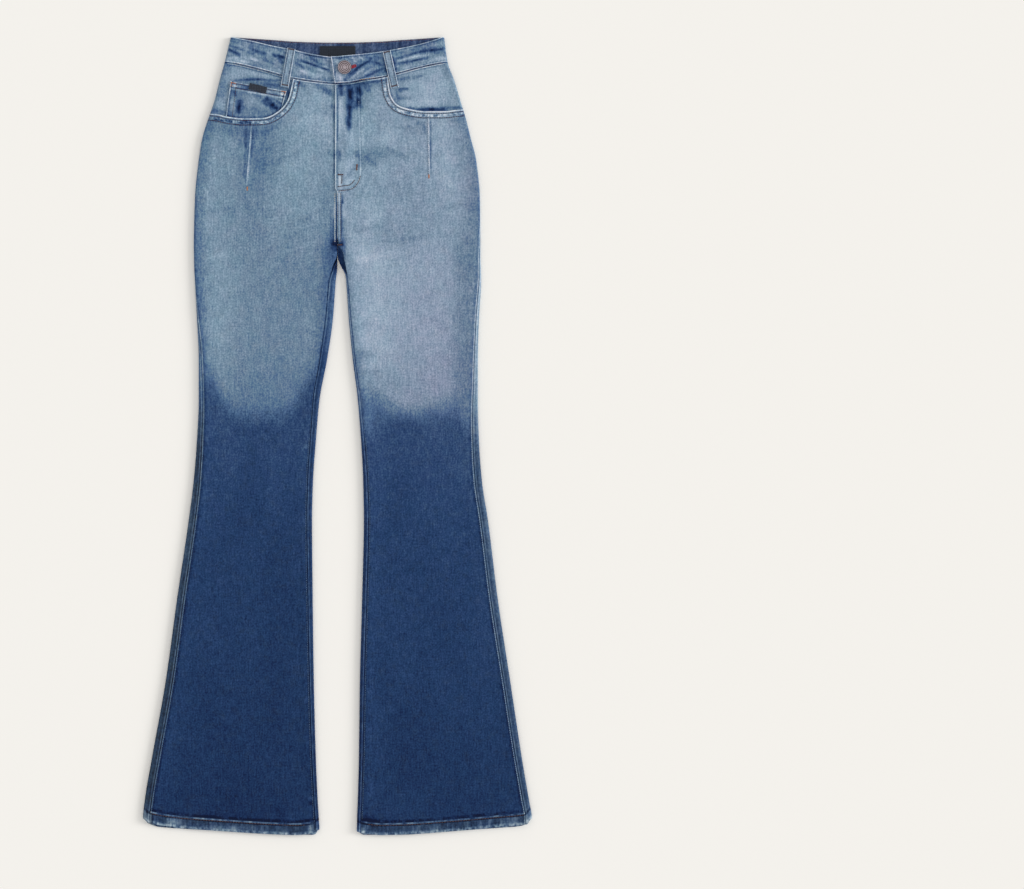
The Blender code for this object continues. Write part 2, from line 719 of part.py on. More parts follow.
def patch_point(side, column, row, face):
    """Five-sided patch pocket: top edge sloping to the centre, pointed bottom."""
    u = column / 4
    v = row / 4
    top_a, top_d = lerp(148.0, 28.0, u), lerp(98.0, 112.0, u)
    low_a = lerp(140.0, 35.0, u)
    low_d = lerp(227.0, 227.0, u) + 17.0 * (1 - abs(2 * u - 1))
    return to_world(side, lerp(top_a, low_a, v), lerp(top_d, low_d, v), THIN if face == "inner" else 0.0)


BUTTON_AT = (9.8, 515.4)
CAP_R = 8.75
SHANK_R = 2.0
ButtonRing = namedtuple("ButtonRing", "radius height")
TAB_TOP = 5.6 + BAND + GAP
BUTTON_PROFILE = [
    ButtonRing(SHANK_R, 5.9),
    ButtonRing(SHANK_R, TAB_TOP + 0.5),
    ButtonRing(7.6, TAB_TOP + 0.5),
    ButtonRing(8.5, TAB_TOP + 0.8),
    ButtonRing(CAP_R, TAB_TOP + 1.5),
    ButtonRing(8.5, TAB_TOP + 2.2),
    ButtonRing(7.7, TAB_TOP + 2.5),
    ButtonRing(6.9, TAB_TOP + 2.2),
    ButtonRing(4.2, TAB_TOP + 2.6),
    ButtonRing(1.8, TAB_TOP + 2.8),
]
BUTTON_SIDES = 20


def make_button(material):
    bm = bmesh.new()
    rings = []
    for ring in BUTTON_PROFILE:
        made = bmesh.ops.create_circle(bm, cap_ends=False, segments=BUTTON_SIDES, radius=ring.radius * MM)
        bmesh.ops.translate(bm, verts=made["verts"],
                            vec=(BUTTON_AT[0] * MM, BUTTON_AT[1] * MM, ring.height * MM))
        rings.append(made["verts"])
    for low, high in zip(rings, rings[1:]):
        between = {e for v in low + high for e in v.link_edges}
        loop = [e for e in between if all(v in low for v in e.verts) or all(v in high for v in e.verts)]
        bmesh.ops.bridge_loops(bm, edges=loop)
    bm.faces.new(rings[0])
    bm.faces.new(rings[-1])
    return add_object("waist_button", bm, material)


# ---------------------------------------------------------------- build

def main():
    for thing in list(bpy.data.objects):
        bpy.data.objects.remove(thing, do_unlink=True)

    front_denim = paint("front denim", (0.20, 0.29, 0.40), 0.85)
    back_denim = paint("back denim", (0.06, 0.11, 0.22), 0.85)
    pocket_denim = paint("pocket denim", (0.16, 0.26, 0.40), 0.85)
    band_denim = paint("waistband denim", (0.20, 0.29, 0.42), 0.85)
    label_cloth = paint("dark label cloth", (0.02, 0.02, 0.03), 0.7)
    metal = paint("antique copper", (0.45, 0.36, 0.34), 0.4, 1.0)

    for side in ("right", "left"):
        make_front(side, front_denim)
        make_back(side, back_denim)
        make_yoke(side, back_denim)
        make_facing(side, pocket_denim)
        cloth_solid("belt_loop_front_" + side, 2, len(FRONT_LOOP) - 1,
                    lambda i, j: front_loop_point(side, i, j, "outer"),
                    lambda i, j: front_loop_point(side, i, j, "inner"), band_denim)
        cloth_solid("back_pocket_" + side, 4, 4,
                    lambda i, j: patch_point(side, i, j, "outer"),
                    lambda i, j: patch_point(side, i, j, "inner"), back_denim)

    cloth_solid("coin_pocket", 6, 4,
                lambda i, j: coin_point(i, j, "outer"), lambda i, j: coin_point(i, j, "inner"),
                pocket_denim)
    cloth_solid("coin_pocket_tab", 3, 2,
                lambda i, j: tab_point(i, j, "outer"), lambda i, j: tab_point(i, j, "inner"),
                label_cloth)
    cloth_solid("waistband", len(BAND_STATIONS) - 1, len(BAND_ROWS) - 1,
                lambda i, j: band_point(i, j, "outer"), lambda i, j: band_point(i, j, "inner"),
                band_denim, slot=(SLOT_COLUMNS[0], SLOT_COLUMNS[1], 2, 3))
    cloth_solid("waist_label", 4, 2,
                lambda i, j: label_point(i, j, "outer"), lambda i, j: label_point(i, j, "inner"),
                label_cloth)
    for name, middle in (("right", -96.0), ("left", 96.0), ("centre", 0.0)):
        cloth_solid("belt_loop_back_" + name, 2, 3,
                    lambda i, j: back_loop_point(middle, i, j, "outer"),
                    lambda i, j: back_loop_point(middle, i, j, "inner"), band_denim)
    make_button(metal)


main()
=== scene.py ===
# %% [markdown]
# Flared denim jeans, laid flat on their back.
#
# The garment is cloth from edge to edge, so this lesson is about cloth: thin shells that follow one
# shared form, a denim whose fade is painted, and rows of real stitches.  The frame holds the
# solids that carry the garment's true sizes.  Each of them is stood for by a finer piece made here.
# Lengths are in millimetres until a mesh is written, and then in metres.

# %% Load the frame
import math
from collections import Counter, namedtuple
from functools import partial
from types import SimpleNamespace

import bmesh
import bpy
import numpy as np
from mathutils import Matrix, Vector


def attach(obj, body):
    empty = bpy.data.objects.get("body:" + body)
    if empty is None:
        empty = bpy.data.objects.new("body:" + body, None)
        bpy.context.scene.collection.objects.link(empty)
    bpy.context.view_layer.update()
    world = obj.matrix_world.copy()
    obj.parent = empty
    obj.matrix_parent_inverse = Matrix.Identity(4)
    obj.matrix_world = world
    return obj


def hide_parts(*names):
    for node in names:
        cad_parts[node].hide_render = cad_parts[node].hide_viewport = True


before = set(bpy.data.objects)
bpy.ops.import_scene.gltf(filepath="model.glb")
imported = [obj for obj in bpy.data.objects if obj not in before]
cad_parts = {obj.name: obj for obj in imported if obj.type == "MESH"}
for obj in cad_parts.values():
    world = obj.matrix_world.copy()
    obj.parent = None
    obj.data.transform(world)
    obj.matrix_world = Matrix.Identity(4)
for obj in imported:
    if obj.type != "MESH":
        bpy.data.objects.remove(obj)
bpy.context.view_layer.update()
MM = 0.001
print("nodes in the frame:", len(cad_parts))

# %% [markdown]
# The camera hangs straight above the cloth and looks down, so the garment is seen as on a table.  It
# stays far away with a long lens, which keeps the thin cloth from leaning outwards at the edges.

# %% Camera
PHOTO_WIDTH = 1024
MM_PER_PIXEL = 1.4
PHOTO_CENTRE, PHOTO_TOP = 337.5, 37.6  # the picture's column of the centre line and row of the top
CAMERA_AT = (0.2443, -0.0117, 5.0)
SENSOR = 36.0

camera_data = bpy.data.cameras.new("camera")
camera_data.sensor_width = SENSOR
camera_data.lens = SENSOR * CAMERA_AT[2] / (PHOTO_WIDTH * MM_PER_PIXEL * MM)
camera_data.clip_end = 50.0
camera = bpy.data.objects.new("camera", camera_data)
camera.location = CAMERA_AT
bpy.context.collection.objects.link(camera)
bpy.context.scene.camera = camera
print("lens", round(camera_data.lens, 1), "mm")

# %% [markdown]
# A studio table is bright from all sides.  Here the world gives most of the light, and one wide soft
# lamp stands low on the right.  Flat cloth lies almost level, so only a low lamp draws its creases and
# leaves the soft shadow on the left of each leg.  The two are balanced so that a level white sheet
# would come out as plain white, and then a cloth's colour can be set to what the eye sees.

# %% Light and floor
LAMP_SHARE = 0.22
LAMP_HEIGHT = math.radians(21)
LAMP_FROM = math.radians(8)
LAMP_WIDE = math.radians(24)
FLOOR_HALF = 6.0


def to_linear(*levels):
    """Colour levels from 0 to 255, as seen on a screen, turned into light."""
    shares = [level / 255 for level in levels]
    return tuple(s / 12.92 if s <= 0.04045 else ((s + 0.055) / 1.055) ** 2.4 for s in shares)


def mesh_from(bm, name):
    mesh = bpy.data.meshes.new(name)
    bm.to_mesh(mesh)
    bm.free()
    return mesh


world = bpy.data.worlds.new("studio")
world.use_nodes = True
sky = world.node_tree.nodes["Background"]
sky.inputs["Color"].default_value = (1.0, 0.995, 0.985, 1.0)
sky.inputs["Strength"].default_value = 1.0 - LAMP_SHARE
bpy.context.scene.world = world

lamp_data = bpy.data.lights.new("soft lamp", "SUN")
lamp_data.energy = LAMP_SHARE * math.pi / math.sin(LAMP_HEIGHT)
lamp_data.angle = LAMP_WIDE
lamp_data.color = (1.0, 0.99, 0.97)
lamp = bpy.data.objects.new("soft lamp", lamp_data)
lamp_way = Vector((math.cos(LAMP_HEIGHT) * math.cos(LAMP_FROM), math.cos(LAMP_HEIGHT) * math.sin(LAMP_FROM),
                   math.sin(LAMP_HEIGHT)))
lamp.rotation_euler = lamp_way.to_track_quat("Z", "Y").to_euler()
bpy.context.collection.objects.link(lamp)
bpy.context.scene.view_settings.view_transform = "Standard"

bm = bmesh.new()
bmesh.ops.create_grid(bm, x_segments=1, y_segments=1, size=FLOOR_HALF)
floor_mesh = mesh_from(bm, "floor")
floor = bpy.data.objects.new("floor", floor_mesh)
floor_paint = bpy.data.materials.new("pale floor")
floor_paint.use_nodes = True
floor_shader = floor_paint.node_tree.nodes["Principled BSDF"]
floor_shader.inputs["Base Color"].default_value = (*to_linear(244, 242, 238), 1.0)
floor_shader.inputs["Roughness"].default_value = 0.9
floor_shader.inputs["Specular IOR Level"].default_value = 0.0
floor_mesh.materials.append(floor_paint)
bpy.context.collection.objects.link(floor)
print("lamp energy", round(lamp_data.energy, 2))

# %% [markdown]
# Every piece of the garment is placed by the same few measures.  A point has a drop, how far it lies
# below the waist, and a distance away from the centre line.  Short tables with named columns hold the
# half widths of the legs, the seams, the hems and the waist, and a smooth curve is read through them.

# %% Sizes of the garment
SIDES = ("right", "left")
SIGN = {"right": -1.0, "left": 1.0}
LENGTH = 1116.0
TOP_Y = LENGTH / 2
DENIM = 1.3
BAND = 2.0
THIN = 1.0
HEM_THICK = 2.2
GAP = 0.3
SEAM = 0.15
FOLD_R = 2.8
BAND_FOLD_R = 3.0
BAND_TOP = 5.6
UNDER_LIFT = 1.3
HEM_DEPTH = 16.5
HEM_LEVEL = 1105.0
CROTCH = 293.0
HIP_ROW = 157.0
LOW_ROW = 1060.0
QUARTER = math.pi / 2 * FOLD_R


def table(kind, *rows):
    """Rows of numbers with the named columns of their kind."""
    return [kind(*row) for row in rows]


Section = namedtuple("Section", "drop right_out right_in left_in left_out")
SECTIONS = table(Section,
    (0, 149.3, 0.15, 0.15, 149.3), (36, 158, 0.15, 0.15, 154.5), (59, 164.5, 0.15, 0.15, 163),
    (87, 171.5, 0.15, 0.15, 171.5), (115, 181, 0.15, 0.15, 180), (143, 189.5, 0.15, 0.15, 187),
    (171, 194, 0.15, 0.15, 194), (227, 199.5, 0.15, 0.15, 199.5), (293, 201, 0.15, 3, 200),
    (303, 200.8, 0.15, 8.2, 200), (320, 200.5, 0.15, 9.4, 200.5), (340, 199.5, 2.2, 12, 201),
    (395, 196.5, 6.4, 16, 198), (451, 194, 14.5, 21.5, 196.5), (507, 194, 25, 28.5, 196.5),
    (563, 196.5, 30, 33, 198), (619, 201, 34, 36, 202), (675, 208, 35.5, 37, 210.5),
    (787, 224.5, 34.5, 34.5, 224.5), (899, 240, 33, 31.5, 241.5), (1011, 260, 30, 30, 258.5),
    (1067, 269.5, 27.5, 28.5, 268), (1092, 272, 26, 27.5, 272), (1116, 272, 24.5, 27, 272))

SeamLine = namedtuple("SeamLine", "drop right_side right_inner left_side left_inner")
SEAM_LINES = table(SeamLine,
    (0, 0, 0, 0, 0), (240, 0, 0, 0, 0), (293, 0, 0, 2.4, 0), (303, 0, 0.4, 3, 0.2), (309, 0, 2.5, 3.4, 1.2),
    (320, 0, 7.5, 4, 3.8), (345, 0.6, 11.4, 5, 4.6), (365, 1.2, 11.8, 5.8, 4.9), (425, 5.1, 12.2, 6.5, 5.6),
    (479, 7.2, 11.8, 8, 6.1), (535, 8.6, 10.3, 10, 6.8), (675, 11.4, 9.3, 12, 9), (1116, 12.1, 7.2, 10.6, 7.6))

Level = namedtuple("Level", "drop middle")
LEVELS = table(Level, (0, 5.6), (36, 5.2), (200, 4.9), (300, 4.5), (500, 4.1), (760, 3.9), (1000, 4), (1116, 4.9))

Hem = namedtuple("Hem", "share right left")
HEMS = table(Hem,
    (0, 1092.5, 1092.5), (0.04, 1099, 1101), (0.2, 1105.5, 1105), (0.45, 1110.5, 1110.5), (0.75, 1115, 1115.5),
    (0.87, 1116, 1116), (0.95, 1114.5, 1114), (1, 1108, 1111))

Waist = namedtuple("Waist", "away right_seam right_edge left_seam left_edge back_seam back_edge")
WAISTS = table(Waist,
    (0, 65.8, 28.5, 65.8, 27, 41, 7.5), (14, 64.8, 27, 65, 25.5, 41, 7.5), (36, 62.5, 23.5, 61, 23.5, 40.5, 7),
    (62, 58.5, 17.5, 57, 20, 40, 6), (88, 51.5, 12.5, 50.5, 15.5, 39, 4), (118, 43.5, 5.5, 42.5, 9, 37.5, 2),
    (139, 38.5, 1.5, 38, 3, 36.5, 0.5), (149, 36.8, 0.2, 36.5, 0.5, 36, 0), (158, 36, 0, 35.5, 0, 36, 0))

PocketEdge = namedtuple("PocketEdge", "inset right_away right_drop left_away left_drop")
POCKET_EDGE = table(PocketEdge,
    (0, 0, 106.8, 0, 101), (0.8, 0, 107, 0, 101), (2.8, 0, 107.2, 0, 101.3), (14, 0, 108.6, 0, 102.4),
    (0, 157, 110.8, 152, 103.6), (0, 130, 113.9, 124, 103.8), (0, 104, 113.3, 99, 100.2), (0, 83, 104.3, 84, 94.4),
    (0, 68.6, 87, 74.2, 79), (0, 61.6, 58.6, 70.6, 54.9))

Crease = namedtuple("Crease", "away0 drop0 away1 drop1 width height")
CREASES = {
    "right": table(Crease,
        (30, 280, 120, 215, 26, 0.5), (40, 315, 150, 290, 30, 0.4), (60, 500, 160, 470, 34, 0.4),
        (70, 600, 150, 640, 36, 0.4), (90, 760, 190, 800, 40, 0.3), (60, 980, 120, 900, 40, 0.3)),
    "left": table(Crease,
        (30, 275, 130, 230, 26, 0.5), (50, 330, 150, 300, 30, 0.4), (60, 470, 170, 505, 34, 0.4),
        (80, 620, 160, 590, 36, 0.4), (90, 820, 180, 770, 40, 0.3), (70, 930, 140, 1000, 40, 0.3)),
}
print("width of a hem laid flat:", SECTIONS[-1].right_out - SECTIONS[-1].right_in, "mm")

# %% Reading the tables


def lerp(a, b, t):
    return a + (b - a) * t


def part(value, low, high):
    """0 below low, 1 above high, and in proportion between them."""
    return np.clip((np.asarray(value, float) - low) / (high - low), 0.0, 1.0)


def ramp(value, low, high):
    """The same with a soft start and end."""
    t = part(value, low, high)
    return t * t * (3.0 - 2.0 * t)


def smooth(xs, ys, at):
    """A curve through the points that never swings past them."""
    xs, ys = np.asarray(xs, float), np.asarray(ys, float)
    slope = np.diff(ys) / np.diff(xs)
    same_way = slope[:-1] * slope[1:] > 0
    total = np.where(same_way, slope[:-1] + slope[1:], 1.0)
    middle = np.where(same_way, 2 * slope[:-1] * slope[1:] / total, 0.0)
    tangent = np.concatenate([[slope[0]], middle, [slope[-1]]])
    at = np.clip(np.asarray(at, float), xs[0], xs[-1])
    k = np.clip(np.searchsorted(xs, at, side="right") - 1, 0, len(xs) - 2)
    h = xs[k + 1] - xs[k]
    t = (at - xs[k]) / h
    return (ys[k] * (1 + 2 * t) * (1 - t) ** 2 + h * tangent[k] * t * (1 - t) ** 2
            + ys[k + 1] * t * t * (3 - 2 * t) + h * tangent[k + 1] * t * t * (t - 1))


def read(table, column, at):
    return smooth([row[0] for row in table], [getattr(row, column) for row in table], at)


print("from the middle out to the right fold at the knee:", round(float(read(SECTIONS, "right_out", 560)), 1), "mm")

# %% [markdown]
# Each leg is a flattened tube, so its cloth is measured from a fold.  A point is given by the length of
# cloth from the fold, over the top or underneath, and by its lift off the outer face.  Near the fold the
# cloth rolls round a small radius, and away from it the top lies at the garment's own height.

# %% The lying form


def outer_fold(side, drop):
    return read(SECTIONS, side + "_out", drop)


def inner_fold(side, drop, layer="front"):
    """The inner leg's fold, or above the crotch the centre line."""
    away = np.where(drop > CROTCH - 9, read(SECTIONS, side + "_in", drop), SEAM)
    # The back keeps to the centre line below the crotch, so its cloth lies in the gap between the legs, where it is
    # painted dark as the shade there.
    if layer == "back":
        return lerp(SEAM, away, ramp(drop, 305, 334))
    if side == "right":
        return away - 6.2 * (1 - ramp(drop, 190, 209))
    return away - 3.05 * (1 - ramp(drop, 212, 217))


def curl(drop, layer="front"):
    """0 where a layer runs flat to the centre seam, 1 where it rolls round the inner leg's fold."""
    return ramp(drop, 302, 322) if layer == "back" else ramp(drop, 286, 298)


def under_height(side, away, drop):
    """Height of the back's outer face, which rides over the patch pockets and rear belt loops."""
    return UNDER_LIFT * ramp(outer_fold(side, drop) - away, 8, 22) * (1 - ramp(drop, 248, 284))


def ridge(away, drop, c):
    """How much of a crease or fold is felt at a place: 1 on its middle line, 0 past its width."""
    run, fall = c.away1 - c.away0, c.drop1 - c.drop0
    length = math.hypot(run, fall)
    share = ((away - c.away0) * run + (drop - c.drop0) * fall) / length ** 2
    off = np.abs((away - c.away0) * fall - (drop - c.drop0) * run) / length
    along = np.sin(math.pi * np.clip(share, 0, 1))
    return along * (0.5 + 0.5 * np.cos(math.pi * np.clip(off / c.width, 0, 1)))


def top_height(side, away, drop):
    """Height of the front's outer face, highest along the folds."""
    middle = read(LEVELS, "middle", drop)
    near = 1 - ramp(outer_fold(side, drop) - away, FOLD_R, 34)
    near = near + curl(drop) * (1 - ramp(away - inner_fold(side, drop), FOLD_R, 34))
    height = middle + (2 * FOLD_R - middle) * np.minimum(1.0, near)
    return height + sum(c.height * ridge(away, drop, c) for c in CREASES[side])


def place(side, drop, end, along, lift, layer="front"):
    """Distance from the centre line and height of a point `along` millimetres of cloth from a fold."""
    drop, along, lift = np.broadcast_arrays(*(np.asarray(a, float) for a in (drop, along, lift)))
    back = layer == "back"
    edge = outer_fold(side, drop) if end == "out" else inner_fold(side, drop, layer)
    inward = -1.0 if end == "out" else 1.0
    roll = np.ones_like(drop) if end == "out" else curl(drop, layer)
    top = (along >= 0) & ((not back) | (roll > 0))
    reach = np.abs(along)
    bent = reach <= QUARTER
    angle = along / FOLD_R
    round_d = np.where(bent, FOLD_R - (FOLD_R + lift) * np.cos(angle), FOLD_R + reach - QUARTER)
    flat_d = np.where(bent, FOLD_R * reach / QUARTER, round_d)
    if back:
        flat_d = np.where((along > 0) & (bent | (end == "in")), 0.0, flat_d)
    flat_away, round_away = edge + inward * flat_d, edge + inward * round_d
    on_top = top & ((not (back and end == "in")) | (roll >= 1.0))
    flat_z = np.where(on_top, top_height(side, flat_away, drop) + lift,
                      under_height(side, flat_away, drop) - lift)
    level_z = np.where(along > 0, top_height(side, round_away, drop) + lift,
                       under_height(side, round_away, drop) - lift)
    round_z = np.where(bent, FOLD_R + (FOLD_R + lift) * np.sin(angle), level_z)
    return lerp(flat_away, round_away, roll), lerp(flat_z, round_z, roll)


def cloth_from_fold(inset):
    """Cloth length from a fold's extreme to a point that far in from it."""
    inset = np.maximum(inset, 0.0)
    rolled = FOLD_R * np.arccos(np.clip(1 - inset / FOLD_R, -1, 1))
    return np.where(inset < FOLD_R, rolled, QUARTER + inset - FOLD_R)


def fold_inset(along):
    """How far in from a fold a cloth length ends, seen from above."""
    reach = np.abs(along)
    return np.where(reach < QUARTER, FOLD_R * (1 - np.cos(reach / FOLD_R)), FOLD_R + reach - QUARTER)


def to_world(side, away, drop, height):
    return np.stack(np.broadcast_arrays(SIGN[side] * away, TOP_Y - drop, height), axis=-1) * MM


print("height half way down the thigh:", round(float(top_height("left", 110.0, 400.0)), 2), "mm")

# %% [markdown]
# Denim never lies as smooth as its form.  Soft hills come from a small random field that is the same on
# every run: a number for each corner of a coarse net, and a smooth blend between the corners.

# %% Soft unevenness


def uneven(x, y, size, seed):
    """Soft hills about `size` millimetres across, between -1 and 1.  size may be (across, down)."""
    sx, sy = size if isinstance(size, tuple) else (size, size)
    x, y = np.asarray(x, float) / sx + 17.0 * seed, np.asarray(y, float) / sy + 31.0 * seed
    i, j = np.floor(x), np.floor(y)
    u, v = x - i, y - j
    u, v = u * u * (3 - 2 * u), v * v * (3 - 2 * v)

    def corner(a, b):
        value = np.sin(a * 127.1 + b * 311.7 + seed * 74.7) * 43758.5453
        return (value - np.floor(value)) * 2 - 1

    low = lerp(corner(i, j), corner(i + 1, j), u)
    high = lerp(corner(i, j + 1), corner(i + 1, j + 1), u)
    return lerp(low, high, v)


sample = uneven(np.arange(0, 900, 7.0), np.zeros(129), 40, 1)
print("unevenness runs from", round(float(sample.min()), 2), "to", round(float(sample.max()), 2))

# %% [markdown]
# The wash is the strongest thing to see.  The whole top was faded, the knee has a soft dark edge, and
# many small places were rubbed pale or stayed dark.  It is painted like a make-up artist would do it:
# a tone across each leg, one soft line at the knee, and a list of soft dabs, each with a place, a size,
# a turn and an amount.  Tone is the brightness that the eye sees, from 0 to 1.

# %% Tones across the legs
Tone = namedtuple("Tone", "share right left")
HIP = table(Tone,
    (0, 0.46, 0.48), (0.05, 0.5, 0.53), (0.1, 0.57, 0.58), (0.2, 0.555, 0.615), (0.3, 0.525, 0.6),
    (0.42, 0.5, 0.59), (0.52, 0.53, 0.59), (0.62, 0.57, 0.6), (0.72, 0.575, 0.6), (0.82, 0.565, 0.585),
    (0.92, 0.57, 0.6), (1, 0.56, 0.61))
THIGH = table(Tone,
    (0, 0.43, 0.5), (0.04, 0.46, 0.52), (0.09, 0.54, 0.51), (0.16, 0.575, 0.53), (0.24, 0.56, 0.59),
    (0.34, 0.53, 0.61), (0.5, 0.515, 0.61), (0.68, 0.52, 0.635), (0.77, 0.52, 0.66), (0.86, 0.5, 0.64),
    (0.92, 0.44, 0.61), (1, 0.35, 0.5))
CALF = table(Tone,
    (0, 0.245, 0.28), (0.06, 0.265, 0.285), (0.2, 0.26, 0.275), (0.5, 0.25, 0.265), (0.8, 0.25, 0.265),
    (0.94, 0.26, 0.27), (1, 0.23, 0.25))
KNEE = table(Tone,
    (0, 494, 547), (0.06, 483, 547), (0.11, 479, 543), (0.19, 501, 515), (0.3, 521, 520), (0.47, 533, 525),
    (0.63, 530, 522), (0.76, 520, 514), (0.86, 491, 508), (0.94, 473, 505), (1, 466, 503))
print("the knee's dark line half way across:", KNEE[5].right, "and", KNEE[5].left, "mm down")

# %% [markdown]
# Marks are crisper than dabs: each runs from one point to another.  They were set on the picture, so their
# places and widths are in its pixels.

# %% Dabs and marks on the fronts
Dab = namedtuple("Dab", "x drop wide tall turn amount")
FRONT_DABS = table(Dab,
    (-105, 152, 34, 22, 0, -0.02), (-104, 176, 20, 13, 12, -0.08), (-146, 130, 50, 12, 4, -0.1),
    (-52, 182, 26, 26, 0, 0.03), (-14, 228, 12, 40, 0, -0.06), (-28, 112, 30, 34, 0, 0.08),
    (46, 168, 26, 12, -20, -0.07), (74, 136, 26, 12, -30, 0.05), (66, 162, 26, 12, 10, -0.06),
    (90, 215, 44, 24, 0, -0.02), (150, 190, 22, 36, 0, 0.03), (88, 282, 40, 26, -8, -0.05),
    # the two dark dabs at 296 mm down, beside the crotch, are painted shade where the legs part
    (-12, 296, 10, 30, 0, -0.05), (9, 296, 5, 20, 0, -0.08), (10, 128, 12, 60, 0, -0.01),
    (-13, 122, 10, 26, 0, 0.04), (28, 74, 28, 9, 0, -0.11), (33, 90, 12, 16, 0, -0.05),
    (98, 128, 20, 10, 10, -0.07), (44, 240, 22, 26, 0, 0.04), (188, 240, 10, 30, 0, -0.04),
    (16, 176, 16, 14, 0, 0.04), (-18, 104, 22, 10, 20, -0.06), (40, 541, 18, 24, 0, 0.08),
    (65, 478, 26, 24, 0, -0.04), (33, 452, 9, 22, 0, -0.07), (-36, 430, 12, 50, 0, 0.04),
    # the rubbed, frayed lower edge
    (-227, 1098, 13, 7, 4, 0.2), (-150, 1106, 48, 4.5, 2, 0.16), (-86, 1112, 26, 4, 2, 0.08),
    (-37, 1106, 6, 8, 0, 0.2), (-60, 1112, 12, 3, 0, -0.06), (46, 1099, 22, 9, 0, -0.1),
    (112, 1104, 40, 8, -2, 0.03), (100, 1112, 26, 3.5, -2, 0.08), (238, 1100, 12, 4, -6, 0.07),
    (34, 1108, 6, 7, 0, 0.12), (150, 1110, 30, 3, -4, 0.06))

